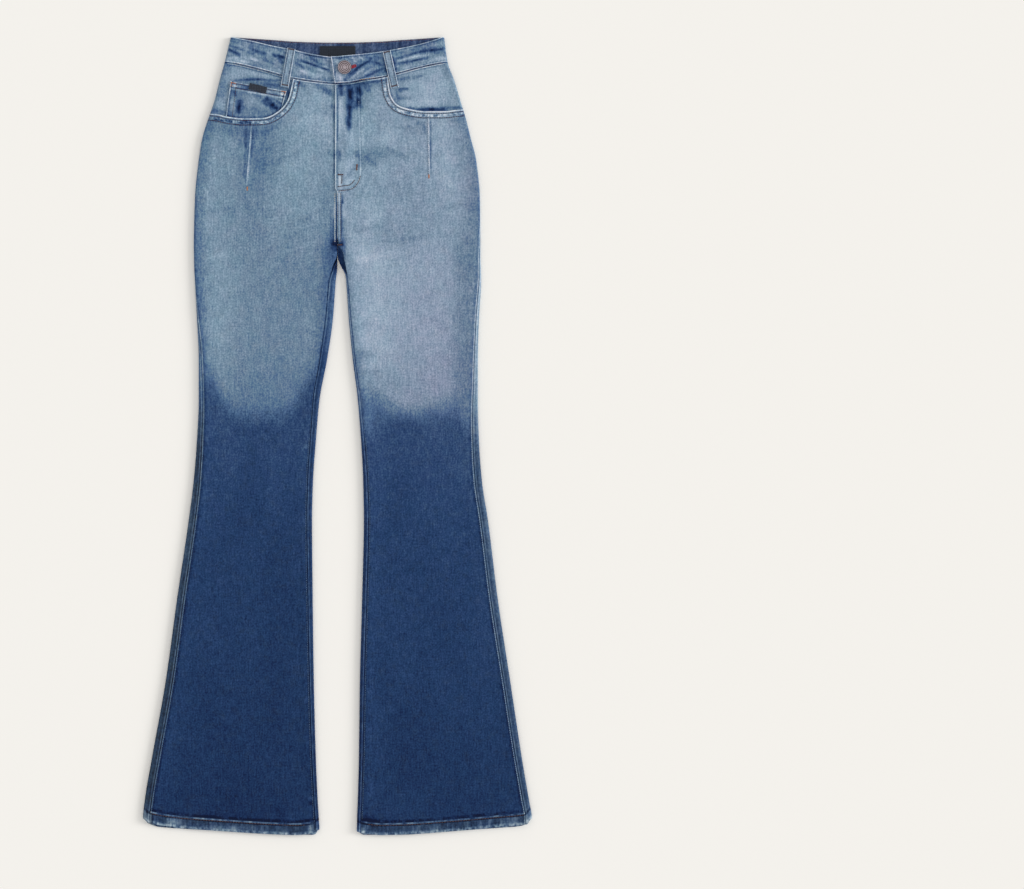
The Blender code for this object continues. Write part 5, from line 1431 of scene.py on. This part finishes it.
def band_values(c, w, which="outer"):
    spots = band_face(c, w, "outer") / MM
    x, drop = spots[:, 0], TOP_Y - spots[:, 1]
    is_back = (c > 15) & (c < 27) & (which == "inner")
    on_top = 1.0 * ((c < 13) | (c > 29))
    end = np.where(c > 36, np.abs(x + tab_end(w)), FAR)
    tone = 0.53 + (dab_sum(x, drop, BAND_DABS) + mark_sum(x, drop, BAND_MARKS)) * on_top
    lean = np.where(x < 0, -0.35, 0.25)
    tone = tone + 0.05 * uneven(x, drop + lean * x, (20, 5), 25) + 0.075 * uneven(x, drop + lean * x, (8, 3.4), 26)
    tone = tone - 0.04 * ramp(x, 10, 30) * (1 - ramp(x, 60, 90))
    # The inside of the band's back shows above the front's top edge; it is painted dark and greyer as shade under that
    # edge, over its own streaks.
    inside = 0.31 + 0.07 * uneven(x, 0 * x, (2.6, 60), 27) + 0.05 * uneven(x, 0 * x, (9, 60), 28)
    tone = np.where(is_back, inside, tone)
    low = (1 - w) * BAND_WIDE
    top = np.where(is_back, FAR, np.minimum(w * BAND_WIDE, end))
    return {"tone": tone, "seam": np.minimum(top, FAR), "low": np.where(is_back, FAR, low),
            "worn": np.where(is_back, 0.35, -0.12),
            "hue": np.where(is_back, 1.0, 0.1 + 0.5 * uneven(x, drop, 12, 29))}


BAND_COLS = np.concatenate([[0.0]] + [k + np.arange(1, s.cells + 1) / s.cells
                                      for k, s in enumerate(BAND_STATIONS[:-1])])
HOLE_TOP, HOLE_LOW = 0.36, 0.49
BAND_ROWS = spread((0, 0.12, 4), (0.12, HOLE_TOP, 5), (HOLE_TOP, HOLE_LOW, 3), (HOLE_LOW, 0.88, 8), (0.88, 1, 4))
HOLE_END = len(BAND_STATIONS) - 2
HOLE_FROM = HOLE_END - 3 / 8


def in_buttonhole(c, w):
    return HOLE_FROM < c < HOLE_END and HOLE_TOP < w < HOLE_LOW


waistband = cloth_piece("band_cloth", BAND_COLS, BAND_ROWS, band_face, band_values, band_cloth, in_buttonhole,
                        partial(band_values, which="inner"))

# %% [markdown]
# Belt loops are narrow folded strips, tacked at the waist edge and again below the seam, so each arches
# a little over the band.  The patch pockets on the seat lie under everything, and rest on the table.

# %% Belt loops and patch pockets
LoopRow = namedtuple("LoopRow", "share lift")
FRONT_LOOP = table(LoopRow, (0, 0.3), (0.3, 0.8), (0.6, 0.6), (0.76, 0.35), (0.87, -0.4), (1, -0.75))
LOOP_HALF = 5.5


def loop_face(side, u, w, lift):
    """u runs from -1 to 1 across the loop, w from 0 to 1 down it."""
    a0, d0, a1, d1 = LOOPS[side]
    length = math.hypot(a1 - a0, d1 - d0)
    away, drop = lerp(a0, a1, w), lerp(d0, d1, w)
    base = lerp(BAND_TOP, top_height(side, away, drop) + 0.25, ramp(w, 0.74, 0.95))
    arch = smooth([r.share for r in FRONT_LOOP], [r.lift for r in FRONT_LOOP], w)
    edge_a, edge_d = (d1 - d0) / length * LOOP_HALF * u, -(a1 - a0) / length * LOOP_HALF * u
    return to_world(side, away + edge_a, drop + edge_d, base + arch + lift)


def loop_thick(u, w):
    """A loop's fold makes its two sides thicker than its middle, and its ends are turned under."""
    ends = 0.45 * (1 - ramp(w, 0.03, 0.07)) + 0.35 * ramp(w, 0.93, 0.97)
    return THIN + 0.05 + 0.3 * ramp(np.abs(u), 0.35, 0.7) - 0.25 * ramp(np.abs(u), 0.86, 1.0) + ends


def front_loop(side, c, w, which):
    return loop_face(side, c, w, loop_thick(c, w) if which == "outer" else 0.0)


def loop_values(_, c, w):
    across = (1 - np.abs(c)) * LOOP_HALF
    tone = 0.62 + 0.05 * uneven(c * 6, w * 60, (5, 9), 31) - 0.06 * (1 - ramp(np.abs(c), 0.2, 0.5))
    return {"tone": tone, "seam": np.minimum(across + 0.45, FAR), "low": FAR, "worn": 0.0, "hue": 0.0}


LOOP_COLS = spread((-1, -0.8, 2), (-0.8, 0.8, 8), (0.8, 1, 2))
LOOP_ROWS = spread((0, 0.1, 5), (0.1, 0.9, 22), (0.9, 1, 5))
loops = both_sides("loop_front", LOOP_COLS, LOOP_ROWS, front_loop, loop_values, band_cloth)
REAR_LOOPS = {"right": -96.0, "left": 96.0, "centre": 0.0}
REAR_TACKS = (0.06, 0.93)
PATCH_WIDE, PATCH_TALL = 112.0, 130.0


def tacked(w):
    """1 at the two bar tacks of a rear loop, 0 away from them."""
    return sum(1 - ramp(np.abs(w - tack), 0.02, 0.05) for tack in REAR_TACKS)


def rear_loop_face(middle, c, w, height):
    top = float(read(WAISTS, "back_edge", abs(middle)))
    low = float(read(WAISTS, "back_seam", abs(middle))) + 10.0
    return to_world("left", middle + c * LOOP_HALF, lerp(top, low, w), height)


def rear_loop(middle, c, w, which):
    height = THIN if which == "inner" else 0.15 * ramp(np.abs(c), 0.8, 1) + 0.3 * tacked(w)
    return rear_loop_face(middle, c, w, height)


for name, middle in REAR_LOOPS.items():
    loops["back_" + name] = cloth_piece("loop_back_" + name, LOOP_COLS, LOOP_ROWS, partial(rear_loop, middle),
                                        partial(loop_values, name), band_cloth)


def patch_spot(c, w):
    """Five-sided patch pocket: c and w run from 0 to 1."""
    top_a, top_d = lerp(148.0, 28.0, c), lerp(98.0, 112.0, c)
    low_a, low_d = lerp(140.0, 35.0, c), 227.0 + 17.0 * (1 - np.abs(2 * c - 1))
    return lerp(top_a, low_a, w), lerp(top_d, low_d, w)


def patch_edge(c, w):
    """Distance to the nearest edge."""
    return np.minimum(np.minimum(c, 1 - c) * PATCH_WIDE, np.minimum(w, 1 - w) * PATCH_TALL)


def patch_face(side, c, w, which):
    away, drop = patch_spot(c, w)
    height = THIN if which == "inner" else 0.3 * (1 - ramp(patch_edge(c, w), 0.5, 2.0))
    return to_world(side, away, drop, height)


def patch_values(_, c, w):
    return {"tone": 0.52 + 0.03 * uneven(c * 110, w * 130, 20, 33), "seam": np.minimum(patch_edge(c, w), FAR),
            "hem": FAR, "worn": 0.0, "hue": 0.0}


patches = both_sides("patch_pocket", spread((0, 1, 32)), spread((0, 1, 34)), patch_face, patch_values, back_cloth)

# %% [markdown]
# A woven label is a stiff ribbon: close cross threads, a slight sheen and folded ends.  Both labels are
# left bare.  The button is a turned copper cap, so it is spun from a profile with its rings in it.

# %% Labels


def ribbon(name, levels, pitch):
    r = Recipe(name)
    scale = 1000 / pitch / 20
    both = r.times(r.bands("X", r.place, scale, 0.6), r.bands("Y", r.place, scale))
    shade = r.add(r.times(both, 0.5), r.add(r.noise(2.0, 2.0), 0.25))
    dark, light = (tuple(level * share for level in levels) for share in (0.8, 1.25))
    return r.finish(r.colours(shade, [(0.0, dark), (1.0, light)]), 0.7, both, 0.15, 0.2)


label_cloth = ribbon("dark woven label", (34, 40, 50), 0.5)
tab_cloth = ribbon("dark woven tab", (44, 50, 62), 0.6)


def label_face(c, w, which):
    away, drop = lerp(-24.5, 25.2, c), lerp(12.4, 27.0, w)
    bow = 0.12 * np.sin(c * 9.0) * w + 0.2 * ramp(np.abs(c - 0.5), 0.46, 0.5)
    return to_world("left", away, drop, UNDER_LIFT + BAND + GAP + (THIN - bow if which == "outer" else 0.0))


def tab_face(c, w, which):
    """The tab lies as the coin pocket's edge leans: 6 mm down on 24.5 mm along."""
    along, down = np.array([(-24.5, 6.0), (6.0, 24.5)]) / math.hypot(24.5, 6.0)
    u, v = lerp(-12.5, 12.5, c), lerp(-4.5, 4.5, w)
    away, drop = (at + along[k] * u + down[k] * v for k, at in enumerate(TAB_AT))
    ends = 0.25 * ramp(np.abs(c - 0.5), 0.45, 0.5)
    low = GAP + THIN + GAP + (THIN - ends if which == "outer" else 0.0)
    return to_world("right", away, drop, under_front("right", away, drop) + low)


waist_label = cloth_piece("label_cloth", spread((0, 1, 30)), spread((0, 1, 10)), label_face, lambda c, w: {},
                          label_cloth)
coin_tab = cloth_piece("tab_cloth", spread((0, 1, 18)), spread((0, 1, 8)), tab_face, lambda c, w: {}, tab_cloth)

# %% Button
BUTTON_AT = (10.3, 515.5)
TAB_TOP = BAND_TOP + BAND + GAP
CAP_SHAPE = [(2, 0.5), (8.2, 0.5), (9.1, 0.75), (9.55, 1.3), (9.5, 1.9), (9, 2.3), (8.5, 2.35), (8.1, 1.9),
             (7.7, 1.75), (7.3, 2.15), (6.8, 2.4), (6.3, 2.3), (5.9, 1.9), (5.5, 1.8), (5, 2.2), (4.5, 2.45),
             (4, 2.35), (3.6, 1.95), (3.2, 1.9), (2.7, 2.3), (2.1, 2.55), (1.6, 2.3), (1.2, 2.2), (0.7, 2.5), (0, 2.6)]
SHANK_SHAPE = [(0, 5.9), (2, 5.9)]
BUTTON_SHAPE = SHANK_SHAPE + [(radius, TAB_TOP + height) for radius, height in CAP_SHAPE]

copper = Recipe("antique copper")
tarnish = copper.add(copper.noise(1.1, 1.1, 3.0), 0.5)
tarnished = copper.add(copper.times(tarnish, 0.35), copper.times(copper.attribute("ring"), 0.75))
coppery = [(0.2, (54, 44, 49)), (0.55, (94, 82, 88)), (0.75, (134, 122, 128)), (0.92, (180, 168, 174))]
copper_paint = copper.finish(copper.colours(tarnished, coppery), 0.48, tarnish, 0.1, 0.5)
copper.shader.inputs["Metallic"].default_value = 0.4

bm = bmesh.new()
profile = [bm.verts.new((radius * MM, 0.0, height * MM)) for radius, height in BUTTON_SHAPE]
edges = [bm.edges.new(pair) for pair in zip(profile, profile[1:])]
bmesh.ops.spin(bm, geom=profile + edges, cent=(0, 0, 0), axis=(0, 0, 1), dvec=(0, 0, 0),
               angle=2 * math.pi, steps=56, use_merge=True)
bmesh.ops.remove_doubles(bm, verts=bm.verts[:], dist=1e-6)
bmesh.ops.recalc_face_normals(bm, faces=bm.faces[:])
heights = np.array([v.co.z for v in bm.verts]) / MM
bmesh.ops.translate(bm, verts=bm.verts[:], vec=(BUTTON_AT[0] * MM, BUTTON_AT[1] * MM, 0))
button_mesh = mesh_from(bm, "button")
store(button_mesh, "ring", np.clip((heights - TAB_TOP - 1.75) / 0.6, 0, 1))
button = add_piece("button_cap", button_mesh, copper_paint, 60)

# %% [markdown]
# Sewing is what the eye takes a garment's quality from, so each stitch is real: a small capsule of
# thread that lies on the cloth and dips in at both ends.  A row of them follows a line on a piece's own
# surface, at an even pitch.  Bar tacks are the same stitch set close together across a short bar.

# %% Threads


def thread(name, levels):
    r = Recipe(name)
    twist = r.noise(0.7, 0.7, 1.0)
    shade = r.add(r.noise(3.0, 3.0), r.add(r.times(twist, 0.5), 0.5))
    dark, light = tuple(v * 0.72 for v in levels), tuple(min(255, v * 1.22) for v in levels)
    return r.finish(r.colours(shade, [(0.15, dark), (0.85, light)]), 0.65, twist, 0.1, 0.2)


THREADS = {"rust": thread("rust thread", (118, 82, 70)), "cream": thread("cream thread", (206, 200, 188)),
           "blue": thread("pale blue thread", (150, 172, 196)), "orange": thread("orange thread", (186, 124, 84)),
           "red": thread("red thread", (150, 44, 58)), "brown": thread("dark brown thread", (84, 64, 66)),
           "gold": thread("golden thread", (172, 140, 92)), "steel": thread("grey blue thread", (96, 120, 146))}
print("threads:", ", ".join(THREADS))

# %% Sewing a row
AT_ONCE = 16  # stitches made in one mesh, since an operator's time grows with its mesh
rows = {}
stitches = Counter()


def lay_stitch(bm, spot, along, up, length, girth):
    """One capsule of thread, `along` its length and `up` off the cloth; lengths in millimetres."""
    side = np.cross(up, along)
    turn = Matrix(np.stack([side * girth / 2, up * girth / 2, along * length / 2], axis=1).tolist())
    move = Matrix.Translation(Vector(spot)) @ (turn * MM).to_4x4()
    bmesh.ops.create_uvsphere(bm, u_segments=6, v_segments=4, radius=1.0, matrix=move)


def unit(v):
    return v / np.maximum(np.linalg.norm(v, axis=-1, keepdims=True), 1e-12)


def sew(colour, surface, us, vs, pitch=3.3, length=2.7, girth=0.8, across=False):
    """A row of stitches along a line on a surface, with their pitch, length and girth in millimetres.

    surface(u, v, lift) gives points in metres, lift millimetres off the cloth.
    """
    us, vs = np.broadcast_arrays(us, vs)
    t, knots = np.linspace(0, 1, 40 * len(us)), np.linspace(0, 1, len(us))
    u, v = np.interp(t, knots, us), np.interp(t, knots, vs)
    on, over = surface(u, v, 0.12), surface(u, v, 1.12)
    run = np.concatenate([[0], np.cumsum(np.linalg.norm(np.diff(on, axis=0), axis=1))]) / MM
    middles = np.arange(pitch / 2, run[-1] - pitch / 4, pitch)

    def along_row(at, points):
        return np.stack([np.interp(at, run, points[:, k]) for k in range(3)], axis=1)

    spots, ups = along_row(middles, on), unit(along_row(middles, over - on))
    ways = unit(along_row(middles + 0.6, on) - along_row(middles - 0.6, on))
    ways = unit(ways - ups * (ways * ups).sum(axis=1, keepdims=True))
    if across:
        ways = np.cross(ups, ways)
    for start in range(0, len(spots), AT_ONCE):
        bm = bmesh.new()
        for k in range(start, min(start + AT_ONCE, len(spots))):
            lay_stitch(bm, spots[k], ways[k], ups[k], length, girth)
        rows.setdefault(colour, []).append(mesh_from(bm, "row"))
    stitches[colour] += len(middles)


def bar(colour, surface, us, vs, length):
    """A bar tack: stitches set close together, across a short line."""
    sew(colour, surface, us, vs, 0.62, length, 0.6, across=True)


print("stitches made at once:", AT_ONCE)

# %% Surfaces to sew on


def front_skin(side):
    """The outer face of a front as a surface of distance away and drop."""
    def surface(away, drop, lift):
        inset = outer_fold(side, drop) - away
        along = cloth_from_fold(inset)
        inner = inner_fold(side, drop)
        bottom = hem_drop(side, outer_fold(side, HEM_LEVEL) - away)
        off, run = nearest_on(*OPENINGS[side], away, drop)
        rise = front_relief(side, away, drop, off, run, along - seam_along(side, "side", drop),
                            away - inner - seam_along(side, "inner", drop), bottom - drop)
        thick = lerp(DENIM, HEM_THICK, ramp(drop, bottom - HEM_DEPTH, bottom - HEM_DEPTH + 1))
        total = front_lift(side, away, drop, off) + rise + 0.5 * (thick - DENIM) + lift
        away, z = place(side, drop, "out", along, total)
        return to_world(side, away, drop, z)
    return surface


def seam_skin(side):
    """The same face beside the side seam: u is the distance from the seam along the cloth."""
    def surface(u, drop, lift):
        along = seam_along(side, "side", drop) + u
        press = np.where(u > 0, 0.22 * ramp(u, 0.8, 2.5), 0.25 * ramp(-u, 0.2, 1.0)) * ramp(drop, 230, 300)
        away, z = place(side, drop, "out", along, lift + press)
        return to_world(side, away, drop, z)
    return surface


def inner_skin(side):
    def surface(u, drop, lift):
        along = seam_along(side, "inner", drop) + u
        away, z = place(side, drop, "in", along, lift + 0.2 * ramp(np.abs(u), 0.3, 1.5))
        return to_world(side, away, drop, z)
    return surface


def coin_skin(c, w, lift):
    return coin_face(c, w, "outer") + np.array([0.0, 0.0, lift * MM])


spot = front_skin("left")(np.array([110.0]), np.array([400.0]), 0.0)[0] / MM
print("height half way down the left thigh:", round(float(spot[2]), 2), "mm")

# %% Rows on the fronts


def hem_row(side, insets):
    """The row of a hem as distances away and drops, at distances in from the outer fold."""
    return float(outer_fold(side, HEM_SEWN)) - insets, hem_drop(side, insets) - HEM_ROW


def beside(away, drop, step):
    """A line that keeps `step` from another one, on its inner side."""
    way_a, way_d = np.gradient(away), np.gradient(drop)
    size = np.hypot(way_a, way_d)
    return away + way_d / size * step, drop - way_a / size * step


for side in SIDES:
    skin, is_left = front_skin(side), side == "left"
    # two rows along the pocket opening, up to the seams at its ends
    for step, girth in ((2.9, 1.0), (9.2, 1.15)):
        a, d = beside(*OPENINGS[side], step)
        keep = (outer_fold(side, d) - a > 0.6) & (d - waist_seam(side, a) > 0.5)
        sew("brown", skin, a[keep], d[keep], girth=girth)
    a0, d0, a1, d1 = DARTS[side]
    sew("steel", skin, [a0 - 0.8, a1 - 0.8], [d0, d1], 2.8, 2.4, 0.6)
    bar("orange", skin, [a1 - 0.8, a1 - 0.6], [d1 - 3.0, d1 + 3.0], 2.4)
    # the side seam, the inner seam and the hem
    down = np.linspace(300 if is_left else 352, float(hem_drop(side, 12.0)) - 1.0, 60)
    sew("blue" if is_left else "steel", seam_skin(side), 1.3, down, 3.2, 2.4, 0.6)
    sew("steel", inner_skin(side), 1.2, np.linspace(560, 1096.0, 60), 3.2, 2.4, 0.5)
    insets = np.linspace(10.5 if is_left else 12.0, 229.0, 60)
    sew("brown", skin, *hem_row(side, insets), 3.8, 3.2, 0.95)

skin = front_skin("left")
sew("blue", skin, *fly_line(np.linspace(0.13, 0.66, 50)), 3.2, 2.5, 0.6)
sew("brown", skin, *fly_line(np.linspace(0.72, 1, 40)), 3.0, 3.1, 1.3)
sew("brown", skin, *beside(*fly_line(np.linspace(0.76, 1, 30)), -6.2), 3.0, 3.1, 1.3)
bar("rust", skin, [27.6, 27.0], [177.5, 186.5], 2.6)
bar("brown", skin, [0.5, 9.0], [192.3, 192.6], 2.4)
sew("brown", skin, [6.6, 6.2], [194.0, 206.0], 2.8, 2.7, 1.3)
sew("blue", skin, [9.0, 8.6], [195.0, 204.0], 2.8, 2.3, 0.7)
# the felled rise
down = np.linspace(218, 289, 12)
sew("cream", front_skin("right"), 3.4, down, 3.0, 2.5)
sew("brown", skin, 4.9, down, 3.0, 2.5)
sew("steel", skin, 1.4, down, 3.0, 2.5, 0.6)
bar("brown", skin, [0.6, 7.0], 290.5, 2.2)
print("stitches:", dict(stitches))

# %% Rows on the waistband, the loops and the coin pocket


def band_skin(which):
    return lambda c, w, lift: band_face(c, w, which, lift)


skin = band_skin("outer")
for first, last in ((2.2, 10.4), (31.6, 41.9)):
    line = np.linspace(first, last, 60)
    sew("steel", skin, line, 2.0 / BAND_WIDE, 3.2, 2.6, 0.6)
    sew("brown", skin, line, 1 - 1.2 / BAND_WIDE, 3.4, 2.8, 0.75)
sew("gold", skin, np.linspace(37.8, 39.75, 20), 1 - 1.8 / BAND_WIDE, 3.2, 2.6)
sew("rust", band_skin("inner"), np.linspace(15.6, 26.4, 60), 1.4 / BAND_WIDE, 3.4, 2.8, 0.75)
sew("steel", skin, 41.8, np.linspace(0.06, 0.94, 12), 3.2, 2.4, 0.6)
for side in SIDES:
    skin = lambda u, v, lift: loop_face(side, u, v, loop_thick(u, v) + lift)
    for u in (-0.62, 0.62):
        sew("brown", skin, u, [0.03, 0.97], 3.2, 2.6, 0.55)
    for w in (0.025, 0.945):
        bar("brown", skin, [-0.85, 0.85], w, 2.2)

for step in (2.2, 8.4):
    line = np.linspace(0.5, 5.6, 30)
    top_d, low_d = coin_heights(line)
    sew("brown", coin_skin, line, step / (low_d - top_d), 3.1, 2.6, 0.85)
for c, colour in ((1.9 / 13, "steel"), (8.5 / 13, "brown"), (6 - 1.9 / 13, "brown"), (6 - 8.5 / 13, "steel")):
    sew(colour, coin_skin, c, np.linspace(0.05, 0.86 if c < 3 else 0.6, 12), 2.9, 2.4, 0.75)
for c, outward in ((0.3, -0.2), (5.7, 0.2)):
    bar("orange", coin_skin, [c - 0.26, c + 0.26], 0.035, 1.5)
    bar("orange", coin_skin, c + outward, [0.05, 0.15], 1.3)
    bar("cream", coin_skin, [c - 0.06, c + 0.06], 0.12, 2.4)
print("stitches:", dict(stitches))

# %% Buttonhole
HOLE_TURN = math.radians(20)


HOLE_HALF = 1.3


def hole_skin(u, v, lift):
    """u along the slit from the button's centre, v across it, both in millimetres."""
    x = BUTTON_AT[0] + u * math.cos(HOLE_TURN) + v * math.sin(HOLE_TURN)
    y = BUTTON_AT[1] - 3.2 + u * math.sin(HOLE_TURN) - v * math.cos(HOLE_TURN)
    drop = TOP_Y - y
    edge = read(WAISTS, "left_edge", x)
    share = (drop - edge) / (waist_seam("left", x) - edge)
    return to_world("left", x, drop, TAB_TOP + band_relief("left", x, drop, share) + lift)


around = np.radians(np.linspace(-90, 90, 9))
slit = [6.0, 11.0, 15.0]
loop_u = np.concatenate([slit, 15.6 + HOLE_HALF * np.cos(around), slit[::-1]])
loop_v = np.concatenate([[-HOLE_HALF] * 3, HOLE_HALF * np.sin(around), [HOLE_HALF] * 3])
bar("red", hole_skin, loop_u, loop_v, 2.3)
bar("red", hole_skin, [8.0, 15.0], 0.0, 4.0)
print("red stitches:", stitches["red"])

# %% Rows on the underside


def under_skin(side, deep=0.0):
    """The backs' outer face between the folds; lifting a point off it moves it down."""
    return lambda away, drop, lift: to_world(side, away, drop, under_height(side, away, drop) + deep - lift)


FELLED = (1.9, 8.2)
for side in SIDES:
    across = np.linspace(140.0, 3.0, 30)
    for below in FELLED:
        sew("gold", under_skin(side), across, yoke_drop(across) + below)
    sew("brown", under_skin(side, GROOVE), *hem_row(side, np.linspace(8.0, 236.0, 60)), 3.8, 3.2)
for away in FELLED:
    sew("gold", under_skin("left"), away, np.linspace(44.0, 246.0, 60))
for share in (2.0 / BAND_WIDE, 1 - 1.4 / BAND_WIDE):
    sew("gold", band_skin("outer"), np.linspace(16.0, 26.0, 60), share, 3.2, 2.6, 0.75)
for middle in REAR_LOOPS.values():
    skin = lambda c, w, lift: rear_loop_face(middle, c, w, 0.45 - lift)
    for w in REAR_TACKS:
        bar("brown", skin, [-0.8, 0.8], w, 2.2)
print("stitches:", dict(stitches))

# %% Thread pieces
for colour, meshes in rows.items():
    bm = bmesh.new()
    for mesh in meshes:
        bm.from_mesh(mesh)
        bpy.data.meshes.remove(mesh)
    name = "stitches_" + colour
    add_piece(name, mesh_from(bm, name), THREADS[colour], 80)

# %% [markdown]
# Last, a table lists for each piece the node it stands for, a finish and the size its cloth was cut to, and those
# nodes of the frame are hidden.  The cut sizes are those of the flat pieces, so a strip that goes round the body is
# given at its full length.

# %% What each piece is
Cut = namedtuple("Cut", "piece node slot wide long area")
CUTS = []
for side in SIDES:
    CUTS += [Cut(fronts[side], "front_panel_" + side, "front_denim", 0.270, 1.061, 0.190),
             Cut(backs[side], "back_panel_" + side, "back_denim", 0.290, 1.043, 0.215),
             Cut(yokes[side], "back_yoke_" + side, "back_denim", 0.168, 0.070, 0.0083),
             Cut(facings[side], "pocket_facing_" + side, "pocket_denim", 0.125, 0.090, 0.0083),
             Cut(loops[side], "belt_loop_front_" + side, "band_denim", 0.011, 0.056, None),
             Cut(loops["back_" + side], "belt_loop_back_" + side, "band_denim", 0.011, 0.046, None),
             Cut(patches[side], "back_pocket_" + side, "back_denim", 0.120, 0.146, 0.0147)]
CUTS += [Cut(coin_pocket, "coin_pocket", "pocket_denim", 0.086, 0.060, 0.0039),
         Cut(coin_tab, "coin_pocket_tab", "label_cloth", 0.025, 0.010, None),
         Cut(waistband, "waistband", "band_denim", 0.740, 0.038, 0.0236),
         Cut(waist_label, "waist_label", "label_cloth", 0.0497, 0.0146, None),
         Cut(loops["back_centre"], "belt_loop_back_centre", "band_denim", 0.011, 0.046, None)]
for cut in CUTS:
    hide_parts(cut.node)
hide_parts("waist_button")
print(len(CUTS), "cloth pieces declared")
